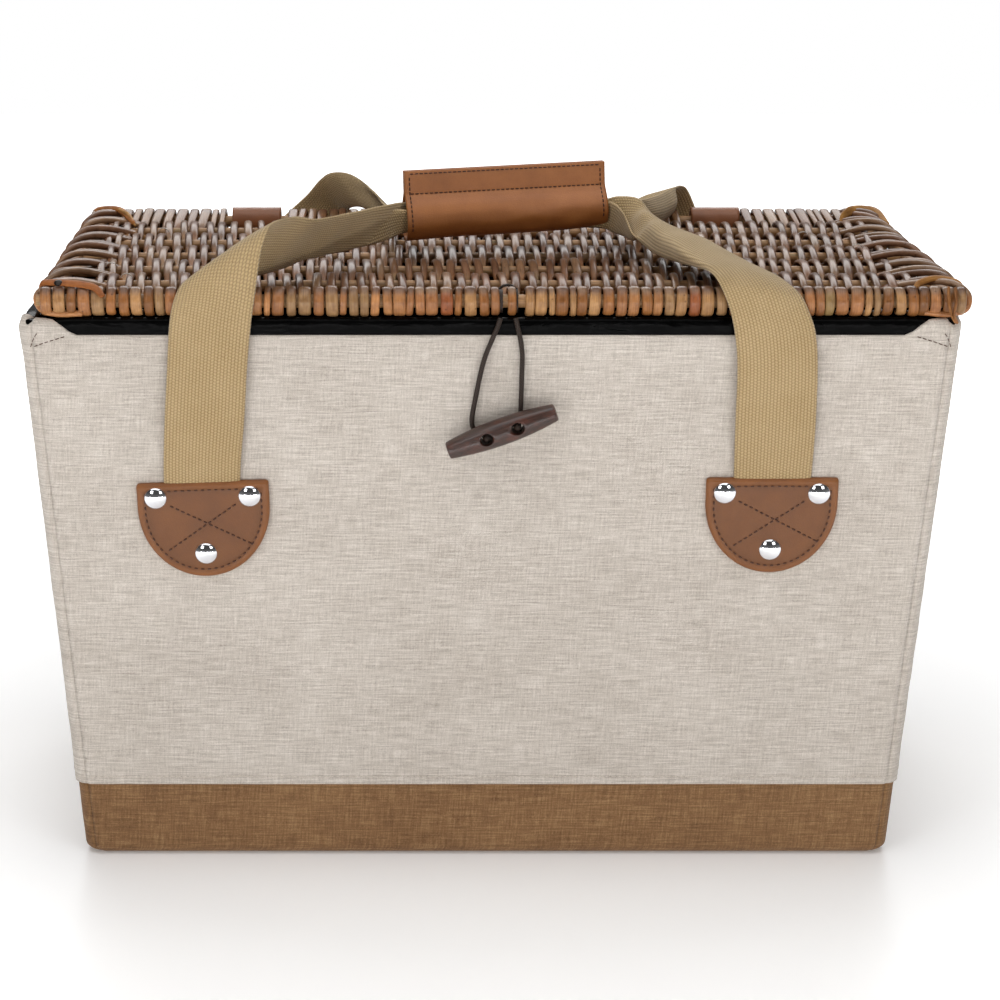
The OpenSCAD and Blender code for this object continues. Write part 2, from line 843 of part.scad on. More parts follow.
module grip_leaf(first_angle) {
    rotate([90, 0, 90]) linear_extrude(grip_l, center = true) leaf_section(first_angle);
}

module grip_front_leaf() {
    color(leather_tone) on_grip() grip_leaf(0);
}

module grip_back_leaf() {
    color(leather_tone) on_grip() mirror([0, 1, 0]) grip_leaf(asin(grip_seam / tube_r));
}

// Hook-and-loop strips sewn inside the two flaps
module closing_strip(side) {
    on_grip()
        translate([-grip_l / 2 + 5, side > 0 ? gap : -gap - strip_t + 0.02, flap_base + 1])
            cube([grip_l - 10, strip_t - 0.02, flap_top - flap_base - 2]);
}

module grip_hook_strip() {
    color("#3b3029") closing_strip(-1);
}

module grip_loop_strip() {
    color("#3b3029") closing_strip(1);
}

base_cover();
base_board();
base_foam();
front_canvas();
back_canvas();
left_canvas();
right_canvas();
front_band();
back_band();
left_band();
right_band();
wall_board("front");  // front_board
wall_board("back");  // back_board
wall_board("left");  // left_board
wall_board("right");  // right_board
wall_foam("front");  // front_foam
wall_foam("back");  // back_foam
wall_foam("left");  // left_foam
wall_foam("right");  // right_foam
liner_bag();
liner_collar();
on_front(-tab_x, tab_z) leather_tab();  // front_left_tab
on_front(tab_x, tab_z) leather_tab();  // front_right_tab
on_back(-tab_x, tab_z) leather_tab();  // back_left_tab
on_back(tab_x, tab_z) leather_tab();  // back_right_tab
on_front(-tab_x, tab_z) webbing_stub();  // front_left_stub
on_front(tab_x, tab_z) webbing_stub();  // front_right_stub
on_back(-tab_x, tab_z) webbing_stub();  // back_left_stub
on_back(tab_x, tab_z) webbing_stub();  // back_right_stub
front_tab_rivets();
back_tab_rivets();
tab_washers();
hinge_strap(hinge_x[0]);  // left_hinge_strap
hinge_strap(hinge_x[1]);  // right_hinge_strap
hinge_rivets();
hinge_washers();
lid_front_rod();
lid_back_rod();
lid_left_rod();
lid_right_rod();
lid_cross_rods();
lid_weave();
lid_corner_bindings();
loop_hitch();
loop_cord();
toggle();
toggle_lashing();
toggle_washer();
front_left_leg();
front_right_leg();
front_top_webbing();
back_left_leg();
back_right_leg();
back_top_webbing();
grip_back_leaf();
grip_front_leaf();
grip_hook_strip();
grip_loop_strip();
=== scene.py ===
"""Looks of the picnic basket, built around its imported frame.

Shapes are worked out in millimetres and written to the meshes in metres. The front faces -Y.
"""

import math

import bpy
import numpy as np
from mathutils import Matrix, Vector


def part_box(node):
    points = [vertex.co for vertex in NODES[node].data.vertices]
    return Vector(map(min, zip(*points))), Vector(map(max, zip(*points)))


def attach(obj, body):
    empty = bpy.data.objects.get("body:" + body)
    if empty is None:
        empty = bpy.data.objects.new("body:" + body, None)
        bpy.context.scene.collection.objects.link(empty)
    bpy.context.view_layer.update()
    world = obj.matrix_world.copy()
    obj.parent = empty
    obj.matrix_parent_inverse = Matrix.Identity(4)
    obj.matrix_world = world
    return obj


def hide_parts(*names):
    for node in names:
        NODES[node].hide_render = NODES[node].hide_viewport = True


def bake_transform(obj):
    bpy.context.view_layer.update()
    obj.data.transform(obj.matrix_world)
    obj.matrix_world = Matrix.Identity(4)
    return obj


MM = 0.001
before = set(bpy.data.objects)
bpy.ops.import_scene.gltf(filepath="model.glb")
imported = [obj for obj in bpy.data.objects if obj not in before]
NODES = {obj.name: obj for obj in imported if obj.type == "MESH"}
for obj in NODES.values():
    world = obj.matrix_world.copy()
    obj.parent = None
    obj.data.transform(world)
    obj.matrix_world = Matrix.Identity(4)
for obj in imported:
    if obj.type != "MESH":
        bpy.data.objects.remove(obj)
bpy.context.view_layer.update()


# ---- sizes, read from the frame ----

def box_mm(node):
    low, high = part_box(node)
    return np.array(low) / MM, np.array(high) / MM


LID_LOW, LID_HIGH = box_mm("lid_weave")
COLLAR_SHOWS = 9.0  # the lining seen between the canvas and the lid
CANVAS_TOP = LID_LOW[2] - COLLAR_SHOWS
CANVAS_FOOT = box_mm("front_canvas")[0][2]
BAND_INSET = 1.2
TOP_HALF = np.array([-box_mm("left_canvas")[0][0], -box_mm("front_canvas")[0][1]])
BAND_TOP = box_mm("left_band")[1][2]
BAND_HALF = np.array([-box_mm("left_band")[0][0], -box_mm("front_band")[0][1]]) + BAND_INSET
LEAN = (TOP_HALF - BAND_HALF) / (CANVAS_TOP - BAND_TOP)
CORNER_R = 11.0
SEAM_IN = 7.0  # the side panels wrap onto the front and back by this much
HEM_SEAM = 4.8  # height of the hem's stitching over the canvas foot
RIPPLE_WAVES = 7  # sine waves added up in one uneven relief
CAP_BULGE = 0.22  # how far a rod's rounded end stands out, as a share of its thickness


def half_at(z):
    """Half width and half depth of the body at a height."""
    return TOP_HALF - (CANVAS_TOP - z) * LEAN


# ---- mesh helpers ----

def spline(points, per=8):
    """A smooth Catmull-Rom line through the points, with per steps between neighbours."""
    p = np.asarray(points, float)
    p = np.vstack([2 * p[0] - p[1], p, 2 * p[-1] - p[-2]])
    t = np.arange(per)[:, None] / per
    runs = []
    for a, b, c, d in zip(p[:-3], p[1:-2], p[2:-1], p[3:]):
        runs.append(0.5 * (2 * b + (c - a) * t + (2 * a - 5 * b + 4 * c - d) * t**2
                           + (3 * b - a - 3 * c + d) * t**3))
    return np.vstack(runs + [p[-2][None]])


def travel_along(line):
    """Distance along a line, from its first point to each of its points."""
    return np.concatenate([[0], np.cumsum(np.linalg.norm(np.diff(line, axis=0), axis=1))])


def resample(line, step):
    """The same line with points evenly spaced, about step apart."""
    line = np.asarray(line, float)
    length = travel_along(line)
    count = max(2, int(round(length[-1] / step)) + 1)
    at = np.linspace(0, length[-1], count)
    return np.stack([np.interp(at, length, line[:, k]) for k in range(line.shape[1])], axis=1)


def tangents(line):
    t = np.gradient(line, axis=0)
    return t / np.linalg.norm(t, axis=1)[:, None]


def smooth01(x):
    x = np.clip(x, 0, 1)
    return x * x * (3 - 2 * x)


def ripple(seed, u, v, wave):
    """Soft uneven relief from -1 to 1 over two coordinates, about wave from crest to crest."""
    rng = np.random.default_rng(seed)
    total = np.zeros(np.broadcast(u, v).shape)
    for _ in range(RIPPLE_WAVES):
        turn = rng.uniform(0, math.tau)
        size = wave * rng.uniform(0.6, 1.8)
        phase = rng.uniform(0, math.tau)
        total += np.sin(math.tau * (u * math.cos(turn) + v * math.sin(turn)) / size + phase)
    return total / RIPPLE_WAVES * 1.6


def grid_faces(rows, columns, wrap=False):
    """Quads of a grid of points, rows by columns, optionally closed across the columns."""
    across = columns if wrap else columns - 1
    return [(r * columns + c, r * columns + (c + 1) % columns,
             (r + 1) * columns + (c + 1) % columns, (r + 1) * columns + c)
            for r in range(rows - 1) for c in range(across)]


def fan(first, count, tip):
    """Triangles from a ring of count points, starting at first, to a tip."""
    return [(first + i, first + (i + 1) % count, tip) for i in range(count)]


class Pile:
    """Gathers many small shapes into one mesh, each with its own tint and surface coordinates."""

    def __init__(self):
        self.points, self.faces, self.uv, self.tint = [], [], [], []
        self.count = 0

    def add(self, points, faces, uv=None, tint=(1, 1, 1)):
        points = np.asarray(points, float).reshape(-1, 3)
        n = len(points)
        self.points.append(points)
        self.faces += [tuple(i + self.count for i in f) for f in faces]
        self.uv.append(np.zeros((n, 2)) if uv is None else np.asarray(uv, float))
        self.tint.append(np.broadcast_to(np.asarray(tint, float), (n, 3)))
        self.count += n

    def build(self, name, material, slot, body=None):
        mesh = bpy.data.meshes.new(name)
        points = np.vstack(self.points) * MM
        mesh.from_pydata(points.tolist(), [], self.faces)
        corner = np.zeros(len(mesh.loops), np.int32)
        mesh.loops.foreach_get("vertex_index", corner)
        layer = mesh.uv_layers.new(name="surface")
        layer.data.foreach_set("uv", (np.vstack(self.uv) * MM)[corner].astype(np.float32).ravel())
        tint = mesh.color_attributes.new("tint", "FLOAT_COLOR", "POINT")
        rgba = np.hstack([np.vstack(self.tint), np.ones((self.count, 1))])
        tint.data.foreach_set("color", rgba.astype(np.float32).ravel())
        mesh.polygons.foreach_set("use_smooth", [True] * len(mesh.polygons))
        mesh.materials.append(material)
        mesh.validate()
        mesh.update()
        made = bpy.data.objects.new(name, mesh)
        bpy.context.scene.collection.objects.link(made)
        if body:
            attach(made, body)
        return made


def build_one(name, material, slot, body, *shape, **looks):
    """A piece made of a single shape."""
    pile = Pile()
    pile.add(*shape, **looks)
    return pile.build(name, material, slot, body)


def tube(line, width, thick=None, sides=10, across=(1, 0, 0), square=1.0):
    """A rod along a line. width lies along across, thick at right angles to it; both may vary."""
    line = np.asarray(line, float)
    n = len(line)
    width = np.broadcast_to(np.asarray(width, float), n)
    thick = width if thick is None else np.broadcast_to(np.asarray(thick, float), n)
    t = tangents(line)
    across = np.broadcast_to(np.asarray(across, float), (n, 3))
    side = across - np.sum(across * t, axis=1)[:, None] * t
    side /= np.linalg.norm(side, axis=1)[:, None]
    up = np.cross(side, t)
    a = np.arange(sides) / sides * math.tau
    ca = np.sign(np.cos(a)) * np.abs(np.cos(a)) ** square
    sa = np.sign(np.sin(a)) * np.abs(np.sin(a)) ** square
    rings = (line[:, None] + side[:, None] * (ca[None, :, None] * width[:, None, None] / 2)
             + up[:, None] * (sa[None, :, None] * thick[:, None, None] / 2))
    length = travel_along(line)
    uv = np.stack(np.broadcast_arrays(a[None, :] * width[:, None] / 2, length[:, None]), axis=2)
    points, uv = rings.reshape(-1, 3), uv.reshape(-1, 2)
    faces = [f[::-1] for f in grid_faces(n, sides, wrap=True)]
    for k, order in ((0, 1), (n - 1, -1)):
        bulge = -order * t[k] * thick[k] * CAP_BULGE
        points = np.vstack([points, rings[k].mean(0) + bulge])
        uv = np.vstack([uv, uv[k * sides]])
        faces += [f[::order] for f in fan(k * sides, sides, len(points) - 1)]
    return points, faces, uv


def slab(rows, thickness):
    """A sheet with thickness: a grid of outer points, the same grid set in, and its rim."""
    r, c = rows.shape[:2]
    outer = rows.reshape(-1, 3)
    inner = (rows - grid_normals(rows) * (thickness * np.ones((r, c)))[..., None]).reshape(-1, 3)
    faces = grid_faces(r, c)
    n = r * c
    faces += [tuple(i + n for i in f[::-1]) for f in grid_faces(r, c)]
    edge = (list(range(c)) + [k * c + c - 1 for k in range(1, r)]
            + [(r - 1) * c + k for k in range(c - 2, -1, -1)]
            + [k * c for k in range(r - 2, 0, -1)])
    for a, b in zip(edge, edge[1:] + edge[:1]):
        faces.append((b, a, a + n, b + n))
    return np.vstack([outer, inner]), faces


def grid_normals(rows):
    """Unit normals of a grid of points, from columns crossed with rows."""
    du = np.gradient(rows, axis=1)
    dv = np.gradient(rows, axis=0)
    n = np.cross(du, dv)
    return n / np.maximum(np.linalg.norm(n, axis=2, keepdims=True), 1e-9)


# ---- materials ----

class Paint:
    """A Principled material and short ways to build its nodes."""

    def __init__(self, name, rough=0.7, **sockets):
        self.material = bpy.data.materials.new(name)
        self.material.use_nodes = True
        self.tree = self.material.node_tree
        self.shader = self.tree.nodes["Principled BSDF"]
        self.shader.inputs["Roughness"].default_value = rough
        for socket, value in sockets.items():
            self.shader.inputs[socket.replace("_", " ")].default_value = value
        self.heights = []

    def node(self, kind, **values):
        made = self.tree.nodes.new("ShaderNode" + kind)
        for key, value in values.items():
            if hasattr(made, key):
                setattr(made, key, value)
            else:
                self.feed(made.inputs[key.replace("_", " ")], value)
        return made

    def feed(self, socket, value):
        if isinstance(value, bpy.types.NodeSocket):
            self.tree.links.new(value, socket)
        else:
            socket.default_value = value

    def place(self, scale=1, uv=False):
        """Coordinates in millimetres divided by scale, from the object or its surface map."""
        if uv:
            source = self.node("UVMap", uv_map="surface").outputs[0]
        else:
            source = self.node("TexCoord").outputs["Object"]
        sized = self.node("VectorMath", operation="MULTIPLY")
        self.feed(sized.inputs[0], source)
        sized.inputs[1].default_value = [1 / (s * MM) for s in np.broadcast_to(scale, 3)]
        return sized.outputs[0]

    def noise(self, place, detail=2.0, rough=0.5, distort=0.0):
        made = self.node("TexNoise", Vector=place, Scale=1.0, Detail=detail, Roughness=rough,
                         Distortion=distort)
        return made.outputs["Fac"]

    def math(self, operation, a, b=0.0, c=0.0):
        made = self.node("Math", operation=operation)
        for socket, value in zip(made.inputs, (a, b, c)):
            self.feed(socket, value)
        return made.outputs[0]

    def part(self, place, axis):
        return self.node("SeparateXYZ", Vector=place).outputs[axis]

    def ramp(self, value, *stops):
        made = self.node("ValToRGB", Fac=value)
        while len(made.color_ramp.elements) < len(stops):
            made.color_ramp.elements.new(0.5)
        for element, (at, colour) in zip(made.color_ramp.elements, stops):
            element.position = at
            element.color = rgba(colour)
        return made.outputs[0]

    def mix(self, a, b, share, blend="MIX"):
        made = self.node("Mix", data_type="RGBA", blend_type=blend)
        self.feed(made.inputs[0], share)
        for socket, value in ((made.inputs[6], a), (made.inputs[7], b)):
            self.feed(socket, rgba(value) if isinstance(value, (tuple, list, str)) else value)
        return made.outputs[2]

    def tint(self):
        return self.node("Attribute", attribute_name="tint").outputs["Color"]

    def bump(self, height, depth):
        """Relief, depth millimetres for a height from 0 to 1. Calls add to each other."""
        made = self.node("Bump", Height=height, Strength=1.0, Distance=depth * MM)
        if self.heights:
            self.feed(made.inputs["Normal"], self.heights[-1])
        self.heights.append(made.outputs[0])

    def done(self, colour, rough=None):
        colour = rgba(colour) if isinstance(colour, str) else colour
        self.feed(self.shader.inputs["Base Color"], colour)
        if rough is not None:
            self.feed(self.shader.inputs["Roughness"], rough)
        if self.heights:
            self.feed(self.shader.inputs["Normal"], self.heights[-1])
        return self.material


def linear(code):
    """Linear RGB of a hex colour as it should appear on screen."""
    parts = [int(code[i:i + 2], 16) / 255 for i in (1, 3, 5)]
    return [c / 12.92 if c <= 0.04045 else ((c + 0.055) / 1.055) ** 2.4 for c in parts]


def rgba(colour):
    return (*linear(colour), 1.0) if isinstance(colour, str) else (*colour[:3], 1.0)


def weave_cloth(name, base, dark, light, pitch, slub, relief, rough=0.9, upright="Z", sheen=0.2):
    """Plain-woven cloth: threads both ways, each a little different, with longer slubs."""
    p = Paint(name, rough, Sheen_Weight=sheen, Sheen_Roughness=0.5, Specular_IOR_Level=0.25)
    place = p.place()
    split = p.node("SeparateXYZ", Vector=place)
    flat = p.math("ADD", split.outputs["X"], p.math("MULTIPLY", split.outputs["Y"], 1.02))
    up = split.outputs["Z"] if upright == "Z" else split.outputs["Y"]
    if upright != "Z":
        flat = split.outputs["X"]
    across = p.math("SINE", p.math("MULTIPLY", flat, math.tau / pitch))
    along = p.math("SINE", p.math("MULTIPLY", up, math.tau / pitch))
    plain = p.math("MULTIPLY", across, along)
    level = p.node("CombineXYZ", X=p.math("MULTIPLY", flat, 0.055 / pitch),
                   Y=p.math("MULTIPLY", up, 1.1 / pitch)).outputs[0]
    stand = p.node("CombineXYZ", X=p.math("MULTIPLY", flat, 1.1 / pitch),
                   Y=p.math("MULTIPLY", up, 0.07 / pitch)).outputs[0]
    weft = p.noise(level, 3.0, 0.65)
    warp = p.noise(stand, 3.0, 0.65)
    speck = p.noise(p.place(pitch * 0.8), 1.0)
    cloudy = p.noise(p.place((70, 70, 45)), 2.0)
    thread = p.math("ADD", p.math("MULTIPLY", weft, slub), p.math("MULTIPLY", warp, 1 - slub))
    colour = p.ramp(thread, (0.36, dark), (0.5, base), (0.63, light))
    specks = p.ramp(speck, (0.3, dark), (0.42, base), (0.58, base), (0.7, light))
    colour = p.mix(colour, specks, 0.35)
    colour = p.mix(colour, p.ramp(cloudy, (0.35, dark), (0.65, light)), 0.1)
    p.bump(p.math("MULTIPLY_ADD", plain, 0.5, 0.5), relief)
    p.bump(thread, relief * 1.3)
    return p.done(colour)


def lining_cloth():
    p = Paint("lining_cloth", 0.25, Specular_IOR_Level=0.04)
    fine = p.noise(p.place(0.7), 2.0)
    creases = p.noise(p.place((26, 26, 9)), 3.0, 0.6, 0.6)
    p.bump(creases, 0.8)
    p.bump(fine, 0.05)
    return p.done(p.ramp(creases, (0.3, "#030303"), (0.7, "#070707")),
                  p.math("MULTIPLY_ADD", fine, 0.2, 0.12))


def leather(name, dark, base, light):
    p = Paint(name, 0.45, Specular_IOR_Level=0.45, Coat_Weight=0.08, Coat_Roughness=0.35)
    pores = p.node("TexVoronoi", Vector=p.place(0.55), feature="F1", Scale=1.0)
    pebble = p.noise(p.place(0.9), 3.0, 0.6)
    patchy = p.noise(p.place(16), 3.0, 0.55)
    colour = p.ramp(patchy, (0.1, dark), (0.52, base), (0.95, light))
    colour = p.mix(colour, p.ramp(pebble, (0.3, dark), (0.7, light)), 0.18)
    colour = p.mix(colour, p.tint(), 1.0, "MULTIPLY")
    p.bump(pores.outputs["Distance"], 0.05)
    p.bump(pebble, 0.07)
    return p.done(colour, p.math("MULTIPLY_ADD", pebble, 0.22, 0.34))


def webbing_cloth():
    """Cotton webbing: columns of small stitches along it, each column half a stitch on."""
    p = Paint("webbing_cloth", 0.88, Sheen_Weight=0.25, Sheen_Roughness=0.5, Specular_IOR_Level=0.2)
    rib, stitch = 1.7, 1.65
    place = p.place(uv=True)
    u, v = p.part(place, "X"), p.part(place, "Y")
    column = p.math("DIVIDE", u, rib)
    ridge = p.math("ABSOLUTE", p.math("SINE", p.math("MULTIPLY", column, math.pi)))
    shift = p.math("MULTIPLY", p.math("FLOOR", column), math.pi)
    slant = p.math("MULTIPLY", p.math("PINGPONG", column, 1.0), 1.4)
    beat = p.math("SINE", p.math("ADD", p.math("MULTIPLY_ADD", v, math.tau / stitch, shift), slant))
    knot = p.math("MULTIPLY_ADD", p.math("MULTIPLY", ridge, p.math("MULTIPLY_ADD", beat, 0.5, 0.5)),
                  0.75, p.math("MULTIPLY", ridge, 0.25))
    fuzz = p.noise(p.place(0.5), 2.0, 0.6)
    faded = p.noise(p.place(22), 2.0)
    colour = p.ramp(knot, (0.02, "#6e5630"), (0.3, "#a88c60"), (0.75, "#c8ad80"))
    colour = p.mix(colour, p.ramp(fuzz, (0.35, "#a08560"), (0.65, "#d6c09a")), 0.22)
    colour = p.mix(colour, p.ramp(faded, (0.35, "#b39a70"), (0.65, "#ccb48c")), 0.18)
    colour = p.mix(colour, p.tint(), 1.0, "MULTIPLY")
    p.bump(knot, 0.32)
    p.bump(fuzz, 0.12)
    return p.done(colour)


def willow_bark(name, rough, coat):
    """Willow whose tint is set strand by strand, with grain along each strand."""
    p = Paint(name, rough, Specular_IOR_Level=0.1, Coat_Weight=coat, Coat_Roughness=0.22)
    grain = p.noise(p.place((0.5, 14, 1), uv=True), 3.0, 0.6, 0.3)
    blotch = p.noise(p.place((5, 9, 5)), 3.0, 0.6)
    spots = p.node("TexVoronoi", Vector=p.place(6), feature="F1", Scale=1.0)
    knots = p.ramp(spots.outputs["Distance"], (0.05, "#6a4a3a"), (0.13, "#ffffff"))
    colour = p.mix(p.tint(), p.ramp(grain, (0.3, "#8f7a6a"), (0.7, "#ffffff")), 0.55, "MULTIPLY")
    colour = p.mix(colour, p.ramp(blotch, (0.3, "#a08878"), (0.65, "#ffffff")), 0.5, "MULTIPLY")
    colour = p.mix(colour, knots, 0.6, "MULTIPLY")
    p.bump(grain, 0.16)
    p.bump(blotch, 0.25)
    return p.done(colour, p.math("MULTIPLY_ADD", blotch, 0.3, rough - 0.15))


def rod_bark():
    p = Paint("rod_bark", 0.5, Specular_IOR_Level=0.45, Coat_Weight=0.1, Coat_Roughness=0.3)
    grain = p.noise(p.place((18, 1.1, 1.1)), 4.0, 0.6, 0.4)
    patch = p.noise(p.place((22, 6, 6)), 3.0, 0.6)
    colour = p.ramp(patch, (0.3, "#86653f"), (0.45, "#a87a4c"), (0.58, "#bd8a58"),
                    (0.72, "#948250"))
    colour = p.mix(colour, p.ramp(grain, (0.32, "#684a2c"), (0.62, "#d0a678")), 0.4)
    p.bump(grain, 0.3)
    return p.done(colour)


def side_bark():
    p = Paint("side_rod_bark", 0.5, Specular_IOR_Level=0.45)
    grain = p.noise(p.place((1.1, 18, 1.1)), 4.0, 0.6, 0.4)
    colour = p.ramp(grain, (0.3, "#5c4028"), (0.5, "#8f6742"), (0.7, "#b28254"))
    p.bump(grain, 0.3)
    return p.done(colour)


def toggle_wood():
    p = Paint("toggle_wood", 0.32, Specular_IOR_Level=0.5, Coat_Weight=0.35, Coat_Roughness=0.18)
    grain = p.noise(p.place((0.45, 12, 1), uv=True), 4.0, 0.65, 0.8)
    band = p.noise(p.place((9, 5, 5)), 3.0, 0.6)
    colour = p.ramp(band, (0.3, "#1d120e"), (0.5, "#33201a"), (0.66, "#56291b"), (0.8, "#6a3a22"))
    colour = p.mix(colour, p.ramp(grain, (0.35, "#0f0908"), (0.7, "#5c3524")), 0.45)
    p.bump(grain, 0.12)
    return p.done(colour, p.math("MULTIPLY_ADD", grain, 0.25, 0.2))


def cord_fibre():
    """Waxed cord with a twist that shows as fine slanting ridges."""
    p = Paint("cord_fibre", 0.55, Specular_IOR_Level=0.4)
    twist = p.node("TexWave", Vector=p.place((1.6, 1.6, 2.2)), Scale=1.0, Distortion=1.2,
                   Detail=1.0, bands_direction="DIAGONAL")
    fuzz = p.noise(p.place(0.35), 2.0)
    colour = p.mix(p.ramp(twist.outputs["Fac"], (0.2, "#17100c"), (0.8, "#3a2a20")),
                   p.ramp(fuzz, (0.35, "#120c09"), (0.7, "#4a382c")), 0.3)
    p.bump(twist.outputs["Fac"], 0.2)
    return p.done(colour)


def metal(name, colour, rough, marks):
    p = Paint(name, rough, Metallic=1.0)
    scratches = p.noise(p.place((3, 3, 0.5)), 4.0, 0.7)
    tone = p.noise(p.place(8), 2.0)
    p.bump(scratches, marks)
    return p.done(p.ramp(tone, (0.2, colour), (0.8, colour if marks > 0.02 else "#f4f4f6")),
                  p.math("MULTIPLY_ADD", scratches, rough * 0.8, rough * 0.6))


def fibre_board(name, dark, light, size):
    p = Paint(name, 0.85)
    fibres = p.noise(p.place(size), 4.0, 0.7)
    p.bump(fibres, 0.2)
    return p.done(p.ramp(fibres, (0.35, dark), (0.65, light)))


def hook_cloth():
    p = Paint("closing_strip", 0.95, Sheen_Weight=0.3)
    hooks = p.node("TexVoronoi", Vector=p.place(0.8), feature="F1", Scale=1.0)
    p.bump(hooks.outputs["Distance"], 0.6)
    return p.done(p.ramp(hooks.outputs["Distance"], (0.2, "#4a3d33"), (0.6, "#1f1813")))


def thread(name, dark, light):
    p = Paint(name, 0.7)
    twist = p.noise(p.place(0.3), 2.0)
    p.bump(twist, 0.1)
    return p.done(p.ramp(twist, (0.35, dark), (0.65, light)))


CANVAS = weave_cloth("canvas_cloth", "#c9bfb4", "#9c9186", "#e8e0d7", 0.95, 0.65, 0.12)
BAND = weave_cloth("band_cloth", "#866240", "#5c3f28", "#b08c62", 1.05, 0.55, 0.14, 0.8, sheen=0.08)
BASE_CLOTH = weave_cloth("base_cloth", "#7d5a38", "#5c4027", "#9c784e", 1.05, 0.5, 0.12, 0.85, "Y")
LINING = lining_cloth()
LEATHER = leather("tan_leather", "#7a4c2c", "#8f5c38", "#a06a42")
WEBBING = webbing_cloth()
STUB_CLOTH = weave_cloth("stub_cloth", "#bda27a", "#a08660", "#cdb58f", 1.6, 0.5, 0.2)
WILLOW = willow_bark("willow_strand", 0.42, 0.5)
BINDING = willow_bark("split_willow", 0.5, 0.1)
ROD = rod_bark()
SIDE_ROD = side_bark()
WOOD = toggle_wood()
CORD = cord_fibre()
CHROME = metal("polished_chrome", "#dcdce0", 0.07, 0.01)
STEEL = metal("washer_steel", "#b8b8bc", 0.3, 0.05)
DARK_NAIL = metal("nail_iron", "#3a3634", 0.4, 0.05)
BOARD = fibre_board("fibre_board", "#8f744f", "#b59a72", 2.5)
FOAM = fibre_board("closed_foam", "#cfd4d8", "#eceff1", 1.2)
HOOKS = hook_cloth()
BROWN_THREAD = thread("brown_thread", "#3a2013", "#5c3620")
PALE_THREAD = thread("pale_thread", "#b9aea2", "#e6ddd2")


def dress(material, slot, *names):
    for name in names:
        NODES[name].data.materials.clear()
        NODES[name].data.materials.append(material)


# ---- body ----

def wall_columns(part, across):
    """Columns of one wall panel: the corner each leans on (x and y share) and its outward angle."""
    turn = math.degrees(math.acos(1 - SEAM_IN / CORNER_R))
    if part in ("front", "back"):
        lap = 90 - turn
        left = [(-1, -1, a) for a in np.linspace(-90 - lap, -90, 6)[:-1]]
        middle = [(f, -1, -90) for f in np.linspace(-1, 1, across)]
        right = [(1, -1, a) for a in np.linspace(-90, -90 + lap, 6)[1:]]
    else:
        left = [(1, -1, a) for a in np.linspace(-turn, 0, 9)[:-1]]
        middle = [(1, f, 0) for f in np.linspace(-1, 1, across)]
        right = [(1, 1, a) for a in np.linspace(0, turn, 9)[1:]]
    columns = np.array(left + middle + right, float)
    if part in ("back", "left"):
        columns = columns * [-1, -1, 1] + [0, 0, 180]
    return columns


def ring_columns(across, deep, arc):
    """Columns all the way round the body."""
    columns = []
    for q, (sx, sy) in enumerate(((1, 1), (-1, 1), (-1, -1), (1, -1))):
        columns += [(sx, sy, q * 90 + a) for a in np.linspace(0, 90, arc)]
        nx, ny = ((-1, 1), (-1, -1), (1, -1), (1, 1))[q]
        count = across if q % 2 == 0 else deep
        for f in np.linspace(0, 1, count)[1:-1]:
            columns.append((sx + (nx - sx) * f, sy + (ny - sy) * f, q * 90 + 90))
    return np.array(columns, float)


def on_walls(columns, z, radius, inset=0.0, tuck=0.0):
    """Points of the wall at a height per column.

    inset goes in square to the wall, tuck moves whole corners in.
    """
    z = np.broadcast_to(np.asarray(z, float), len(columns))
    half = half_at(z[:, None])
    a = np.radians(columns[:, 2])
    out = np.stack([np.cos(a), np.sin(a)], axis=1)
    centre = columns[:, :2] * (half - radius - tuck)
    reach = radius - np.broadcast_to(np.asarray(inset, float), len(columns))
    return np.column_stack([centre + out * reach[:, None], z])


def outward(columns):
    a = np.radians(columns[:, 2])
    fall = LEAN[0] * np.abs(np.cos(a)) + LEAN[1] * np.abs(np.sin(a))
    n = np.stack([np.cos(a), np.sin(a), -fall], axis=1)
    return n / np.linalg.norm(n, axis=1)[:, None]


def along_wall(columns):
    """Distance of each column from the middle of its nearest upright corner, along the wall."""
    to_corner = (TOP_HALF - CORNER_R) * (1 - np.abs(columns[:, :2]))
    quarter = np.abs((columns[:, 2] % 90 + 90) % 90 - 45)
    quarter = np.where(quarter > 44.99, 45, quarter)
    return to_corner.sum(axis=1) + np.radians(quarter) * CORNER_R


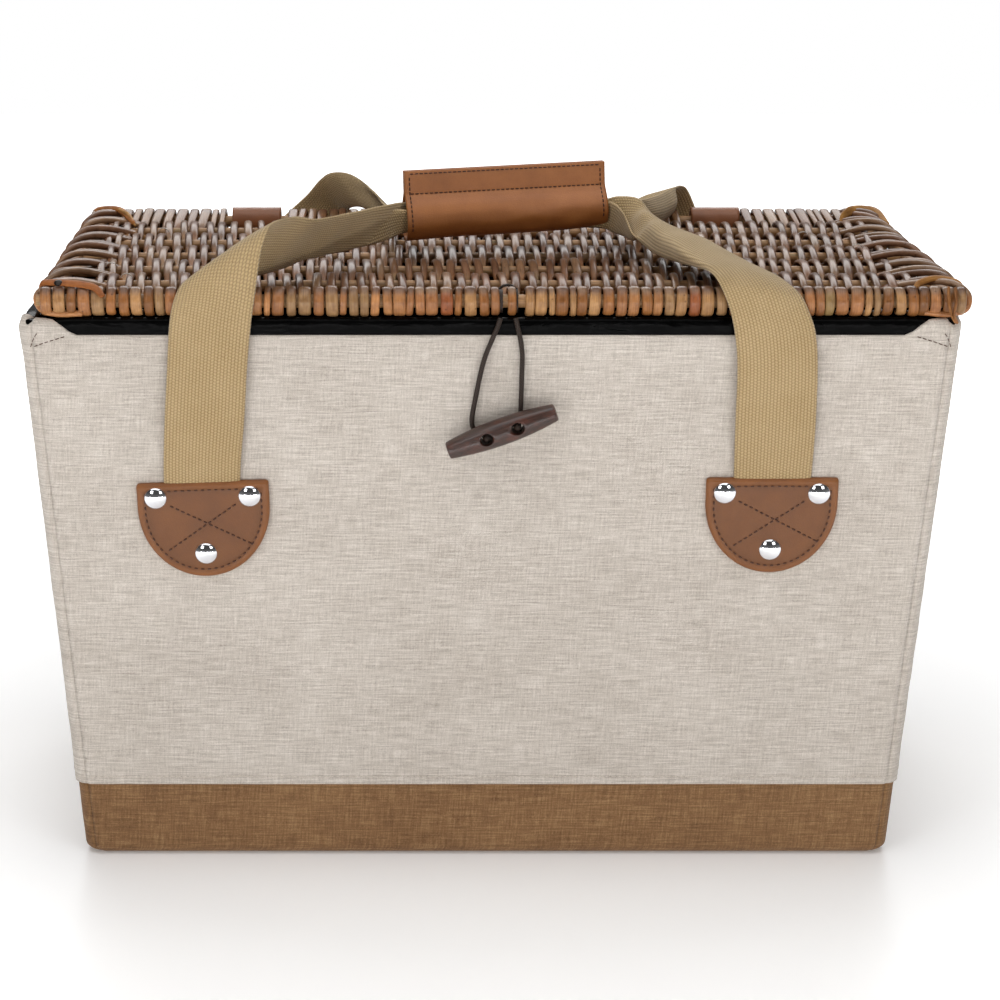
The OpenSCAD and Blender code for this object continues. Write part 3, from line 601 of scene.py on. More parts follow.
def canvas_panel(part, seed):
    """Padded canvas from its hem over the band up to its turned edge under the lid."""
    columns = wall_columns(part, 120 if part in ("front", "back") else 72)
    normals = outward(columns)
    corner = along_wall(columns)
    bump = 8.5 * (1 - smooth01((corner - 15) / 14)) - 3.2 * (1 - smooth01(corner / 7))
    roll = 1.4 + 3.4 * (1 - smooth01((corner - 9) / 12))
    edge = CANVAS_TOP + bump
    travel = travel_along(on_walls(columns, CANVAS_TOP, CORNER_R))
    side = np.minimum(travel, travel[-1] - travel)
    seam = -1.0 * (1 - smooth01(side / 3.2)) ** 1.5
    hem = [0, 0.3, 1.2, 2.4, 3.6, 4.4, 4.8, 5.2, 6.0, 7.5]
    rows, thick = [], []
    for h in hem:
        z = CANVAS_FOOT + h
        puff = 0.35 - 0.35 * (h < 0.2) - 0.4 * math.exp(-((h - HEM_SEAM) / 0.35) ** 2)
        puff += 0.12 * ripple(seed + 9, travel, h, 14)
        rows.append(on_walls(columns, z, CORNER_R) + normals * (puff + seam * 0.6)[:, None])
        thick.append(1.1)
    start = CANVAS_FOOT + hem[-1]
    pull = smooth01(side / 6)
    for f in np.linspace(0, 1, 52)[1:]:
        z = start + (edge - roll - start) * f
        puff = (0.35 * ripple(seed, travel, z, 60) * math.sin(math.pi * f)
                + 0.15 * ripple(seed + 3, travel, z, 22))
        drawn = 0.5 * ripple(seed + 5, travel, z * 0.25, 16) * math.exp(-(1 - f) * 14)
        push = (puff + drawn) * pull + seam
        rows.append(on_walls(columns, z, CORNER_R) + normals * push[:, None])
        thick.append(2.0 - 0.9 * smooth01((f - 0.93) / 0.07) - 0.9 * (1 - smooth01(f / 0.04)))
    for phi in np.radians([25, 50, 75, 95, 120, 150]):
        drop = roll * (1 - np.cos(phi))
        z = edge - roll + roll * np.sin(phi)
        rows.append(on_walls(columns, z, CORNER_R) + normals * (seam - drop)[:, None])
        thick.append(0.9)
    made = build_one(part + "_canvas_cloth", CANVAS, "canvas", "basket",
                     *slab(np.array(rows), np.array(thick)[:, None]))
    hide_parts(part + "_canvas")


def band_panel(part, seed):
    """Brown cloth from behind the canvas hem down and under the base."""
    columns = wall_columns(part, 100 if part in ("front", "back") else 60)
    normals = outward(columns)
    travel = travel_along(on_walls(columns, CANVAS_TOP, CORNER_R))
    side = np.minimum(travel, travel[-1] - travel)
    seam = -0.7 * (1 - smooth01(side / 2.5)) ** 1.5
    foot, turn = 0.4, 6.0
    rows = []
    for z in np.linspace(BAND_TOP, turn, 16):
        puff = 0.25 * ripple(seed, travel, z, 34) * math.sin(math.pi * (BAND_TOP - z) / BAND_TOP)
        rows.append(on_walls(columns, z, CORNER_R, BAND_INSET) + normals * (puff + seam)[:, None])
    for phi in np.radians([20, 40, 60, 80, 90]):
        z = turn - (turn - foot) * np.sin(phi)
        rows.append(on_walls(columns, z, CORNER_R, BAND_INSET, turn * (1 - np.cos(phi)))
                    + normals * (seam * np.cos(phi))[:, None])
    for tuck in (10, 15, 20):
        rows.append(on_walls(columns, foot, CORNER_R, BAND_INSET, tuck))
    made = build_one(part + "_band_cloth", BAND, "band_cloth", "basket",
                     *slab(np.array(rows)[::-1], 0.8))
    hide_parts(part + "_band")


def lining_collar():
    """The lining turned over the boards: a soft black roll under the lid."""
    radius = 13.0
    columns = ring_columns(150, 90, 14)
    normals = outward(columns)
    travel = travel_along(on_walls(columns, CANVAS_TOP, radius))
    dip = 1.2 * (1 - smooth01((along_wall(columns) - 9) / 14))
    profile = [(2.6, -9), (2.3, -5), (2.0, 0), (1.8, 4.0), (1.8, 6.6), (2.6, 8.3), (4.4, 8.8),
               (7.4, 8.8), (9.8, 8.2), (11.2, 5.6), (11.4, 0.5), (11.4, -5), (11.4, -12)]
    rows = []
    for inset, rise in profile:
        crease = 0.35 * ripple(3, travel, rise * 3, 30) + 0.2 * ripple(4, travel, rise * 6, 9)
        crease = np.clip(crease, -0.1, 0.35) * (1 if rise > -2 else 0)
        z = CANVAS_TOP + rise - dip * smooth01((rise + 4) / 8)
        rows.append(on_walls(columns, z, radius, inset) + normals * crease[:, None])
    made = build_one("lining_turnover", LINING, "lining", "basket", rows,
                     grid_faces(len(rows), len(columns), wrap=True))
    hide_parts("liner_collar")


def lining_bag():
    """The inside of the lining: creased walls, a seam at the floor and the floor itself."""
    radius, inset, floor_z = 9.0, 10.6 + 0.8, box_mm("liner_bag")[0][2] + 0.9
    columns = ring_columns(110, 66, 9)
    normals = outward(columns)
    seam = 0.9 * np.exp(-(along_wall(columns) / 1.5) ** 2)
    travel = travel_along(on_walls(columns, CANVAS_TOP, radius))
    rows = []
    for z in np.linspace(CANVAS_TOP + 2, floor_z + 3, 44):
        fade = smooth01((CANVAS_TOP + 2 - z) / 30)
        sway = (0.9 * ripple(11, travel, z * 0.5, 90) + 0.45 * ripple(12, travel, z, 34)) * fade
        push = np.minimum(sway, 0.6) + seam
        rows.append(on_walls(columns, z, radius, inset) + normals * push[:, None])
    rows.append(on_walls(columns, floor_z + 0.8, radius, inset, 0.8))
    rows.append(on_walls(columns, floor_z, radius, inset, 3.0))
    ring = rows[-1]
    for share in (0.93, 0.85, 0.74, 0.6, 0.45, 0.3, 0.15, 0.02):
        level = floor_z + 0.5 * ripple(13, ring[:, 0] * share, ring[:, 1] * share, 60)
        rows.append(np.column_stack([ring[:, :2] * share, np.maximum(level, floor_z - 0.3)]))
    made = build_one("lining_inside", LINING, "lining", "basket", rows[::-1],
                     [f[::-1] for f in grid_faces(len(rows), len(columns), wrap=True)])
    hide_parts("liner_bag")


def stitches(pile, line, pitch, length, width, out, height):
    """Short thread ends along a line on a surface whose outward direction is out."""
    line = resample(line, 0.4)
    travel = travel_along(line)
    out = np.asarray(out, float)
    for s in np.arange(pitch / 2, travel[-1] - length / 2, pitch):
        at = np.array([[np.interp(s + d, travel, line[:, k]) for k in range(3)]
                       for d in np.linspace(-length / 2, length / 2, 5)])
        lift = height * np.array([-0.2, 0.7, 1.0, 0.7, -0.2])
        at = at + out * lift[:, None]
        pile.add(*tube(at, width, sides=6, across=np.cross(out, at[-1] - at[0])))


def on_front(x, z, out=0.0):
    """A point on the front wall's outer face, out millimetres proud of it."""
    slope = math.atan(LEAN[1])
    return np.array([x, -half_at(z)[1] - out * math.cos(slope), z - out * math.sin(slope)])


def wall_stitching():
    """Pale thread along the hem, dark thread on the two folded front corners."""
    pale = Pile()
    face = np.array([0, -1, -LEAN[1]])
    hem = CANVAS_FOOT + HEM_SEAM
    half = half_at(CANVAS_FOOT)[0] - SEAM_IN - 2
    for turn in (1, -1):
        line = [on_front(x, hem, 0.1) * [turn, turn, 1] for x in (-half, half)]
        stitches(pale, line, 3.4, 2.5, 0.7, face * [turn, turn, 1], 0.25)
        deep = half_at(CANVAS_FOOT)[1] - CORNER_R - 2
        wide = half_at(hem)[0]
        line = [np.array([turn * (wide + 0.1), y, hem]) for y in (-deep, deep)]
        stitches(pale, line, 3.4, 2.5, 0.7, (turn, 0, 0), 0.25)
    pale.build("hem_stitching", PALE_THREAD, "canvas", "basket")
    dark = Pile()
    reach = half_at(CANVAS_TOP)[0]
    for sx in (-1, 1):
        folds = ([(reach - 8, -6), (reach - 16, -3.2), (reach - 27, 0.2)],
                 [(reach - 6.5, -6.5), (reach - 9, -0.5), (reach - 12, 3.2)])
        for fold in folds:
            line = spline([on_front(sx * x, CANVAS_TOP + z, 0.25) for x, z in fold])
            stitches(dark, line, 3.0, 1.9, 0.45, face, 0.2)
    dark.build("corner_fold_stitching", BROWN_THREAD, "canvas", "basket")


def build_body():
    for seed, part in enumerate(("front", "right", "back", "left")):
        canvas_panel(part, 20 + seed)
        band_panel(part, 60 + seed)
    lining_collar()
    lining_bag()
    wall_stitching()
    dress(BASE_CLOTH, "band_cloth", "base_cover")
    dress(BOARD, "board", "base_board", "front_board", "back_board", "left_board", "right_board")
    dress(FOAM, "foam", "base_foam", "front_foam", "back_foam", "left_foam", "right_foam")
    dress(STEEL, "washer", "tab_washers", "hinge_washers", "toggle_washer")
    dress(STUB_CLOTH, "webbing", "front_left_stub", "front_right_stub", "back_left_stub",
          "back_right_stub")


# ---- lid ----

LID_MID = (LID_LOW[0] + LID_HIGH[0]) / 2
ROD_Z = (LID_LOW[2] + LID_HIGH[2]) / 2
ROD_Y = LID_HIGH[1] - 8
ROW = ROD_Y / 3  # from one cross rod to the next
SKEW = 0.015  # the weave sits a little askew on its rods
HINGE_AT = [np.mean([box_mm(n)[k][0] for k in (0, 1)]) - LID_MID
            for n in ("left_hinge_strap", "right_hinge_strap")]
HITCH_AT = [x - LID_MID for x in (5, 13)]

WRAPS = 78  # strands round the front rod, and round the back rod
ARC_POINTS = 19  # points of a wrap before it leaves the rod
INNER_COLUMNS = 57
SIDE_LOOPS = 9
STRAND_SIDES = 10

# Painted sheen: the top tints are paler and greyer than the face tints, standing in for the sheen
# of overhead light on the strands' tops.
BARK_TOPS_PAINTED_SHEEN = ("#967254", "#866248", "#a07e60", "#7e5a42", "#906a50")
BARK_FACES = ("#c98e5a", "#b37844", "#d2a06a", "#9c683a", "#bd8252", "#b58e62")
BARK_ODD = ("#a88a5a", "#a2603a", "#7e5438")


def on_lid(points):
    """Points given about the lid's middle, moved to where the lid is."""
    points = np.array(points, float)
    points[:, 0] += LID_MID - points[:, 1] * SKEW
    return points


def tints_with_painted_sheen(rng, share):
    """Tints along a strand, with painted sheen: share is 1 where its top shows, which gets the
    paler top tint that stands in for sheen, and 0 on its outer face.
    """
    top = np.array(linear(rng.choice(BARK_TOPS_PAINTED_SHEEN)))
    faces = BARK_ODD if rng.random() < 0.12 else BARK_FACES
    face = np.array(linear(rng.choice(faces)))
    light = rng.uniform(0.82, 1.12)
    return (face + (top - face) * np.asarray(share)[:, None]) * light


def strand(pile, line, width, thick, share, rng, across=(1, 0, 0), square=0.8):
    """One willow strand; its colour and the place of its grain are drawn here."""
    points, faces, uv = tube(on_lid(line), width, thick, STRAND_SIDES, across, square)
    tint = tints_with_painted_sheen(rng, share)
    around = np.repeat(tint, STRAND_SIDES, axis=0)
    uv = uv + rng.uniform(0, 400)
    pile.add(points, faces, uv, np.vstack([around, tint[:1], tint[-1:]]))


def border_wraps(pile, rng, side):
    """Strands round the front (side -1) or back rod; tails dive under the first cross rod."""
    reach = 244.0
    widths = [rng.choice((3.6, 4.8, 5.2, 5.8, 6.6)) + rng.uniform(-0.3, 0.3) for _ in range(WRAPS)]
    gaps = [rng.uniform(0.1, 1.3) for _ in widths]
    scale = 2 * reach / (sum(widths) + sum(gaps))
    x = -reach
    for width, gap in zip(widths, gaps):
        width, gap = width * scale, gap * scale
        middle, x = x + width / 2, x + width + gap
        open_places = HITCH_AT if side < 0 else HINGE_AT
        half = 1.4 + width / 2 if side < 0 else 15.8 + width / 2
        if any(abs(middle - at) < half for at in open_places):
            if side > 0:
                continue
            width *= 0.62
            middle += 1.6 * (1 if middle > np.mean(open_places) else -1)
            if any(abs(middle - at) < 1.2 + width / 2 for at in open_places):
                middle, width = np.mean(open_places), 4.6
        radius = rng.uniform(6.3, 6.9)
        lean = 3.2 * middle / reach + rng.uniform(-1.6, 1.6)
        twist = rng.uniform(-0.9, 0.9)
        turn = np.radians(np.linspace(rng.uniform(275, 300), 78, ARC_POINTS))
        arc = np.column_stack([np.full(ARC_POINTS, middle), -ROD_Y + radius * np.cos(turn),
                               ROD_Z + radius * np.sin(turn)])
        arc[:, 0] += twist * np.cos(turn * 0.5 + 0.4)
        ends = np.array([[0.25, -ROD_Y + 13, 3.9], [0.5, -ROD_Y + 25, 0.6],
                         [0.75, -ROD_Y + 36, -3.6], [0.9, -2 * ROW + 0.5, -5.4],
                         [1.05, -ROD_Y + 58, -5.6]])
        tail = np.column_stack([arc[-1, 0] + lean * ends[:, 0], ends[:, 1], ROD_Z + ends[:, 2]])
        line = np.vstack([arc, spline(np.vstack([arc[-1], tail]), 4)[1:]])
        narrow = np.concatenate([np.ones(ARC_POINTS),
                                 np.linspace(1, 0.62, len(line) - ARC_POINTS)])
        # Painted sheen: the paler top tint comes in as the wrap rises over the rod, and the tails
        # lying on top keep most of it.
        share = smooth01((line[:, 2] - ROD_Z - 3.2) / 2.6)
        share[ARC_POINTS:] = np.maximum(0.75, share[ARC_POINTS:])
        line[:, 1] *= -side
        strand(pile, line, width * 0.98 * narrow, rng.uniform(2.3, 2.9), share, rng, square=0.72)


def inner_strands(pile, rng):
    """Strands along the lid's depth, over one cross rod and under the next."""
    for column in range(INNER_COLUMNS):
        x = -222 + 7.93 * column + rng.uniform(-0.8, 0.8)
        for over_middle in (True, False):
            side = 1.5 if over_middle else -1.5
            wide = rng.uniform(3.9, 5.2)
            y = np.linspace(-ROD_Y + 11, ROD_Y - 11, 84)
            wave = np.cos(math.pi * y / ROW) * (1 if over_middle else -1)
            if not over_middle:
                wave = np.where(np.abs(y) > 2 * ROW, -1 + 0.25 * (np.abs(y) - 2 * ROW) / 30, wave)
            wave = np.sign(wave) * np.abs(wave) ** 0.85
            lean = x * 0.012 * y / 60
            drift = 0.9 * np.sin(y / rng.uniform(24, 40) + rng.uniform(0, 6.28))
            z = ROD_Z + (4.9 + 0.5 * np.sin(y / 31 + column)) * wave + 0.3
            line = np.column_stack([x + side + drift + lean, y, z])
            width = wide * (0.72 + 0.28 * smooth01((wave + 0.7) / 1.2))
            # Painted sheen: the paler top tint where the strand rides over a rod.
            share = 0.25 + 0.75 * smooth01(wave + 0.5)
            strand(pile, line, width, rng.uniform(2.7, 3.2), share, rng, square=0.85)


def side_loops(pile, rng, side):
    """Slanting loops over the left (side -1) or right rod, two strands in each."""
    for k in range(SIDE_LOOPS):
        y0 = -124 + 30.5 * k + rng.uniform(-2.5, 2.5)
        for pair in (-1, 1):
            shift = pair * 3.1
            path = [(-205, y0 + 27, 314), (-214, y0 + 22, 318.5), (-228, y0 + 11, 323.3),
                    (-239, y0, 324), (-245.4, y0 - 7, 319), (-243.5, y0 - 11, 312.5),
                    (-234, y0 - 14, 310.2), (-222, y0 - 16, 311)]
            path = np.array(path) + rng.uniform(-0.8, 0.8, (8, 3)) * [1, 1, 0.4]
            path[:, 1] += shift + rng.uniform(-1, 1)
            path[:, 2] = np.minimum(path[:, 2] + rng.uniform(-0.5, 0.8), 325)
            path[:, 1] = np.clip(path[:, 1], -ROD_Y - 4, ROD_Y + 4)
            path[:, 0] *= -side
            line = spline(path, 7)
            # Painted sheen: the paler top tint on the part of the loop above the rod.
            share = smooth01((line[:, 2] - ROD_Z) / 3)
            width = rng.uniform(4.4, 5.8) * (1 - 0.35 * smooth01(
                (np.abs(np.linspace(-1, 1, len(line))) - 0.6) / 0.4))
            strand(pile, line, width, rng.uniform(3.2, 3.9), share, rng, across=(0.25, 1, 0.1),
                   square=0.9)


def lid_weave():
    """The whole weave. One seed draws it all, so the order of the calls matters."""
    rng = np.random.default_rng(41)
    pile = Pile()
    for side in (-1, 1):
        border_wraps(pile, rng, side)
    inner_strands(pile, rng)
    for side in (-1, 1):
        side_loops(pile, rng, side)
    made = pile.build("willow_weave", WILLOW, "willow", "lid")
    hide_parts("lid_weave")


LEFT_SHIFT = np.array([4.5, 0, 0])  # the left corners' strips sit this much further in


def corner_bindings():
    """Split-willow strips over the corners, a nail head and a few thin pale ties."""
    rng = np.random.default_rng(7)
    strips = (
        ([(-236, -127, 321), (-238, -130, 324.6), (-233, -134, 326.2), (-220, -138, 326.3),
          (-209, -142, 325.2), (-203.6, -146.4, 321)], 5.4, "#b5703c"),
        ([(-238, 124, 321), (-238, 130, 324), (-233, 135, 325.6), (-222, 123, 326),
          (-211, 92, 322.6)], 4.4, "#b9783f"),
        ([(-236, 136, 324), (-228, 134, 326.2), (-216, 109, 325.6), (-210, 90, 321.6)],
         2.2, "#d2a060"),
        ([(222, 106, 321), (225, 114, 324.4), (232, 127, 325.8), (240, 132, 326), (246, 124, 325),
          (250, 104, 320)], 5.6, "#bd8a4a"),
        ([(224, -134, 322), (228, -128, 325), (237, -121, 326.2), (245, -123, 325.6),
          (249, -130, 323.4), (251, -135, 317)], 4.2, "#b98346"),
        ([(240, -144, 325.5), (239.6, -149.8, 319), (241, -149.8, 312.5), (244, -146.5, 307.5)],
         3.2, "#b07a48"),
        ([(243.6, -144, 325), (243.4, -149.9, 319), (242.6, -150, 312.5), (245, -146.5, 307)],
         3.2, "#9d6c42"),
    )
    pile = Pile()
    for path, width, colour in strips:
        path = np.array(path)
        line = spline(path - LEFT_SHIFT * (path[:, :1] < 0), 8)
        run = np.linspace(0, 1, len(line))
        width = width * (1 - 0.4 * np.abs(2 * run - 1) ** 3)
        points, faces, uv = tube(line, width, 1.5, 10, (0.2, 0.85, 0.5), 0.8)
        points = points + LEFT_SHIFT * (points[:, :1] < 0)
        pile.add(points, faces, uv + rng.uniform(0, 90), linear(colour))
    made = pile.build("corner_strips", BINDING, "binding", "lid")
    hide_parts("lid_corner_bindings")

    ties = Pile()
    a = np.radians(np.linspace(10, 170, 22))
    across, up = np.array([1.0, 0, 0]), np.array([0, -0.35, 0.94])
    for x, y in ((-190, 60), (-208, -63), (-196, -98), (190, 46), (215, 0), (120, 46), (-60, 92)):
        arch = (x, y, ROD_Z + 5.0) + 3.2 * (np.cos(a)[:, None] * across + np.sin(a)[:, None] * up)
        ties.add(*tube(arch, 0.55, sides=6, across=np.cross(across, up)))
    ties.build("wire_ties", PALE_THREAD, "willow", "lid")
    build_one("corner_nail", DARK_NAIL, "binding", "lid",
              *dome((-228, -136.8, 326.6), (0, -0.5, 1), radius=2.2, height=1.2, lip=0.3))


def dome(centre, out, radius, height, lip):
    """A smooth rivet head standing on a surface whose outward direction is out."""
    out = np.asarray(out, float) / np.linalg.norm(out)
    side = np.cross(out, (0, 0, 1) if abs(out[2]) < 0.9 else (1, 0, 0))
    side /= np.linalg.norm(side)
    up = np.cross(out, side)
    ball = (radius**2 + (height - lip) ** 2) / (2 * (height - lip))
    top = math.asin(min(1, radius / ball))
    profile = [(radius, -0.6), (radius, lip * 0.4)]
    profile += [(ball * math.sin(t) - (0.0 if t < top else 0.08),
                 lip + ball * (math.cos(t) - math.cos(top)))
                for t in np.linspace(top, 0, 12)[:-1]]
    a = np.linspace(0, math.tau, 40, endpoint=False)
    rows = [centre + out * h + r * (np.cos(a)[:, None] * side + np.sin(a)[:, None] * up)
            for r, h in profile]
    points = np.vstack(rows + [centre + out * height])
    n = len(a)
    faces = grid_faces(len(rows), n, wrap=True) + fan((len(rows) - 1) * n, n, len(points) - 1)
    return points, faces


def build_lid():
    lid_weave()
    corner_bindings()
    dress(ROD, "rod", "lid_front_rod", "lid_back_rod", "lid_cross_rods")
    dress(SIDE_ROD, "rod", "lid_left_rod", "lid_right_rod")
    dress(CORD, "cord", "loop_hitch")


# ---- handles ----

WEB_WIDTH, WEB_THICK = 38.0, 1.8
SECTION_STEPS = 7  # rows of mesh from one drawn cross-section to the next
LEG_SECTIONS = 4  # a handle's legs end, and its top begins, at this cross-section from each end


def ribbon(pile, sections, start, end):
    """Webbing through cross-sections of four points each, cut at the start and end section.

    Returns the number of points round the strap.
    """
    sections = np.array(sections, float)
    along = spline(sections.reshape(len(sections), 12), SECTION_STEPS).reshape(-1, 4, 3)
    kept = slice(start * SECTION_STEPS, end * SECTION_STEPS + 1)
    rows = np.array([spline(r, 6) for r in along])
    normals = grid_normals(rows)
    n, m = rows.shape[:2]
    across = np.linalg.norm(np.diff(rows, axis=1), axis=2)
    u = np.concatenate([np.zeros((n, 1)), np.cumsum(across, axis=1)], axis=1)
    u = (u / u[:, -1:] - 0.5) * WEB_WIDTH
    middle = rows[:, m // 2]
    v = travel_along(middle)
    rows, normals, u, v = rows[kept], normals[kept], u[kept], v[kept]
    n = len(rows)
    half = WEB_THICK / 2 * (1 - 0.35 * np.abs(u / WEB_WIDTH * 2)[..., None] ** 6)
    front, back = rows + normals * half, rows - normals * half
    edge_a = rows[:, :1] - 0.5 * (rows[:, 1:2] - rows[:, :1])
    edge_b = rows[:, -1:] + 0.5 * (rows[:, -1:] - rows[:, -2:-1])
    loop = np.concatenate([front, edge_b, back[:, ::-1], edge_a], axis=1)
    u_loop = np.concatenate([u, u[:, -1:] + 0.6, u[:, ::-1], u[:, :1] - 0.6], axis=1)
    uv = np.stack([u_loop, np.broadcast_to(v[:, None], u_loop.shape)], axis=2)
    k = loop.shape[1]
    faces = grid_faces(n, k, wrap=True)
    for row, turn in ((0, 1), (n - 1, -1)):
        for j in range(m - 1):
            a, b = row * k + j, row * k + j + 1
            c, d = row * k + 2 * m - j, row * k + 2 * m - j - 1
            faces.append((a, c, d, b)[::turn])
    pile.add(loop.reshape(-1, 3), faces, uv.reshape(-1, 2))
    return k


def crease_ends(strap, k):
    """Keep a strap's cut ends from rounding off its shading."""
    last = len(strap.data.vertices) - k
    for edge in strap.data.edges:
        a, b = edge.vertices
        edge.use_edge_sharp = max(a, b) < k or min(a, b) >= last


def flat(a, b, bulge=0.6):
    """A cross-section from border a to border b, bulging outwards (to -Y at the front)."""
    a, b = np.array(a, float), np.array(b, float)
    push = np.array([0, -bulge if a[1] < 0 else bulge, 0])
    return [a, a + (b - a) / 3 + push, a + (b - a) * 2 / 3 + push, b]


LEFT_FRONT = [
    flat((-173.2, -142.2, 211), (-134.4, -142.2, 212), 0.2),
    flat((-173.2, -143.3, 222.5), (-134.2, -143.3, 223.5), 0.2),
    flat((-172.8, -145.4, 234), (-133.4, -145.4, 235), 0.5),
    flat((-171.6, -147.5, 255), (-131.4, -147.5, 255), 0.9),
    flat((-169.6, -149.2, 282), (-129.4, -149.2, 283), 1.0),
    flat((-168.2, -149.6, 302), (-127.0, -149.8, 307), 0.9),
    flat((-166.6, -149.5, 314), (-124.6, -150.0, 323), 0.6),
    [(-164.4, -148.8, 322), (-150.6, -150.4, 329), (-136.2, -150.8, 336), (-121.8, -148.6, 342)],
    [(-161.6, -146.6, 327.4), (-148.6, -147.4, 336.4), (-134, -146.4, 345.2),
     (-118.8, -143, 353.2)],
    [(-156.6, -142, 329.6), (-143.6, -140, 339.2), (-129.6, -137, 349.2), (-115.6, -134, 357)],
    [(-147, -134.5, 328.6), (-136, -133, 338.6), (-123.4, -128.6, 349.6), (-111, -122.5, 357.6)],
    [(-134, -124.6, 327.4), (-124.8, -121.4, 337.4), (-114, -115.2, 347.8), (-103.8, -108, 356.6)],
    [(-121, -111.5, 327.2), (-112.4, -107.6, 336.2), (-103.4, -101.2, 345.6), (-95, -95, 353.4)],
    [(-109, -96, 328.4), (-102.6, -92.8, 334.4), (-94, -86.4, 344), (-85.6, -79, 352.3)],
    [(-99, -86.5, 332.2), (-95.4, -82.6, 331.6), (-86.2, -75.4, 341.6), (-78.6, -67.4, 352)],
    [(-91, -77, 336.4), (-88, -72.6, 331.4), (-79.4, -64.6, 341.6), (-71.7, -57, 351.8)],
    [(-79, -60.5, 341.6), (-77, -57.4, 331), (-68.6, -49.6, 341.6), (-62, -42, 351.9)],
    [(-68.6, -47, 346.8), (-66.6, -45, 331.6), (-60.4, -37, 341), (-54.6, -30.6, 351.6)],
    [(-58.6, -34.4, 348), (-57, -32.8, 332.4), (-52.6, -26, 340.6), (-49.6, -20, 351)],
    [(-50.4, -24.6, 347.6), (-49.6, -22.6, 335), (-46, -16.6, 339.6), (-44, -12, 350)],
    [(-40, -20.4, 347), (-40, -18.4, 336.4), (-37, -14, 338.6), (-36, -10.6, 349)],
    [(-12, -15.6, 347), (-12, -14.4, 338), (-12, -11, 339), (-12, -9, 348)],
]

RIGHT_FRONT = [
    flat((131.6, -142.2, 211), (170.6, -142.2, 212), 0.2),
    flat((131.4, -143.4, 224.5), (171, -143.4, 225.5), 0.2),
    flat((131.2, -145.4, 236), (171.3, -145.4, 237), 0.5),
    flat((131.0, -147.4, 255), (171.6, -147.4, 255), 0.9),
    flat((130.8, -150.4, 284), (171.2, -149.6, 284), 1.2),
    flat((128.8, -152.2, 302), (169.4, -150.2, 301.5), 1.4),
    flat((126.2, -152.4, 313.5), (166.2, -149.6, 312), 1.2),
    [(122.6, -150, 323.4), (135.4, -151.4, 323.4), (149, -150.2, 323.2), (161.6, -146, 321.6)],
    [(119, -144.6, 330), (130, -144.2, 330.2), (142.4, -141.4, 330), (155, -136.4, 327.2)],
    [(115.4, -134.6, 332.4), (119.6, -134, 334.2), (133.4, -129.6, 334), (148, -122.4, 329.8)],
    [(111.4, -121.6, 332), (112, -121, 335.4), (125.6, -113.4, 336.4), (140.6, -105.6, 331.4)],
    [(104.4, -104, 331.6), (104.6, -103, 338), (117.4, -94.4, 339), (129.4, -83.6, 335)],
    [(99.4, -90.6, 331.4), (101, -88.8, 339.8), (111.4, -78.6, 341), (121, -65, 337.8)],
    [(92.9, -70, 331.4), (95.4, -67.6, 341), (103, -56.6, 342.2), (110.1, -43, 339.4)],
    [(87.8, -51.6, 333.4), (91.6, -48, 342.6), (96.6, -36.6, 344), (101.3, -23.4, 340.6)],
    [(82.2, -37.4, 337), (84.2, -33.6, 333.6), (89.4, -25, 346), (95.4, -9.4, 343.4)],
    [(78.4, -21.4, 345.4), (79.6, -19, 333), (83.6, -12.6, 341), (88.2, -4, 350.8)],
    [(73.4, -8.6, 349), (74, -7, 333.8), (75.6, -2.4, 338), (77, 2.4, 351.2)],
    [(67, -4.4, 348.6), (67, -3, 336), (67.4, 0.6, 338), (67.6, 2.6, 349.4)],
    [(40, -6.6, 347), (40, -5.4, 338), (40, -3.4, 339), (40, -2.6, 347)],
]

LEFT_BACK = [
    flat((-173.4, 142.2, 211), (-134.6, 142.2, 212), 0.2),
    flat((-172.4, 143.3, 222.5), (-133.4, 143.3, 222.5), 0.2),
    flat((-170.4, 145.4, 236), (-131.4, 145.4, 233), 0.5),
    flat((-163, 149.6, 261), (-124.6, 149.6, 254), 0.9),
    flat((-146, 152.8, 291), (-110, 152.8, 277), 1.2),
    flat((-130, 154.4, 309), (-96, 154.4, 293), 1.2),
    [(-117, 154, 321.6), (-106, 155.8, 316), (-95, 156, 311), (-84.6, 153.8, 306)],
    [(-107, 151.6, 331.4), (-99.4, 154.6, 326.4), (-90.4, 155, 321.4), (-79, 151.4, 316.6)],
    [(-99.2, 148.4, 341), (-94.6, 148.6, 336), (-88.6, 146.6, 330.4), (-81.4, 141.6, 324.6)],
    [(-92, 144.4, 346.2), (-88, 140.6, 342.4), (-82, 134.4, 336.4), (-75, 126, 328.6)],
    [(-81, 135.4, 347), (-77.4, 129.4, 343), (-72, 120.6, 336.4), (-66.6, 108.6, 328.4)],
    [(-70.4, 121, 343), (-67.4, 114, 340), (-62.6, 104.6, 334.6), (-58.6, 91, 328.4)],
    [(-62.6, 98, 337.6), (-60, 91, 336.6), (-55.4, 82, 332.6), (-52.6, 70, 329.4)],
    [(-57, 66, 337), (-52.4, 60.4, 333.4), (-48.6, 51, 331.4), (-46.6, 43, 335)],
    [(-52.6, 26, 342.6), (-48.6, 24, 334.4), (-45.4, 17, 333.4), (-44.6, 10, 340)],
    [(-46, 2.4, 347), (-45, 2, 336), (-42.4, -3, 336.6), (-41.6, -5.4, 346)],
    [(-12, -1, 348), (-12, -1.6, 338), (-12, -4, 338), (-12, -5.4, 347)],
]

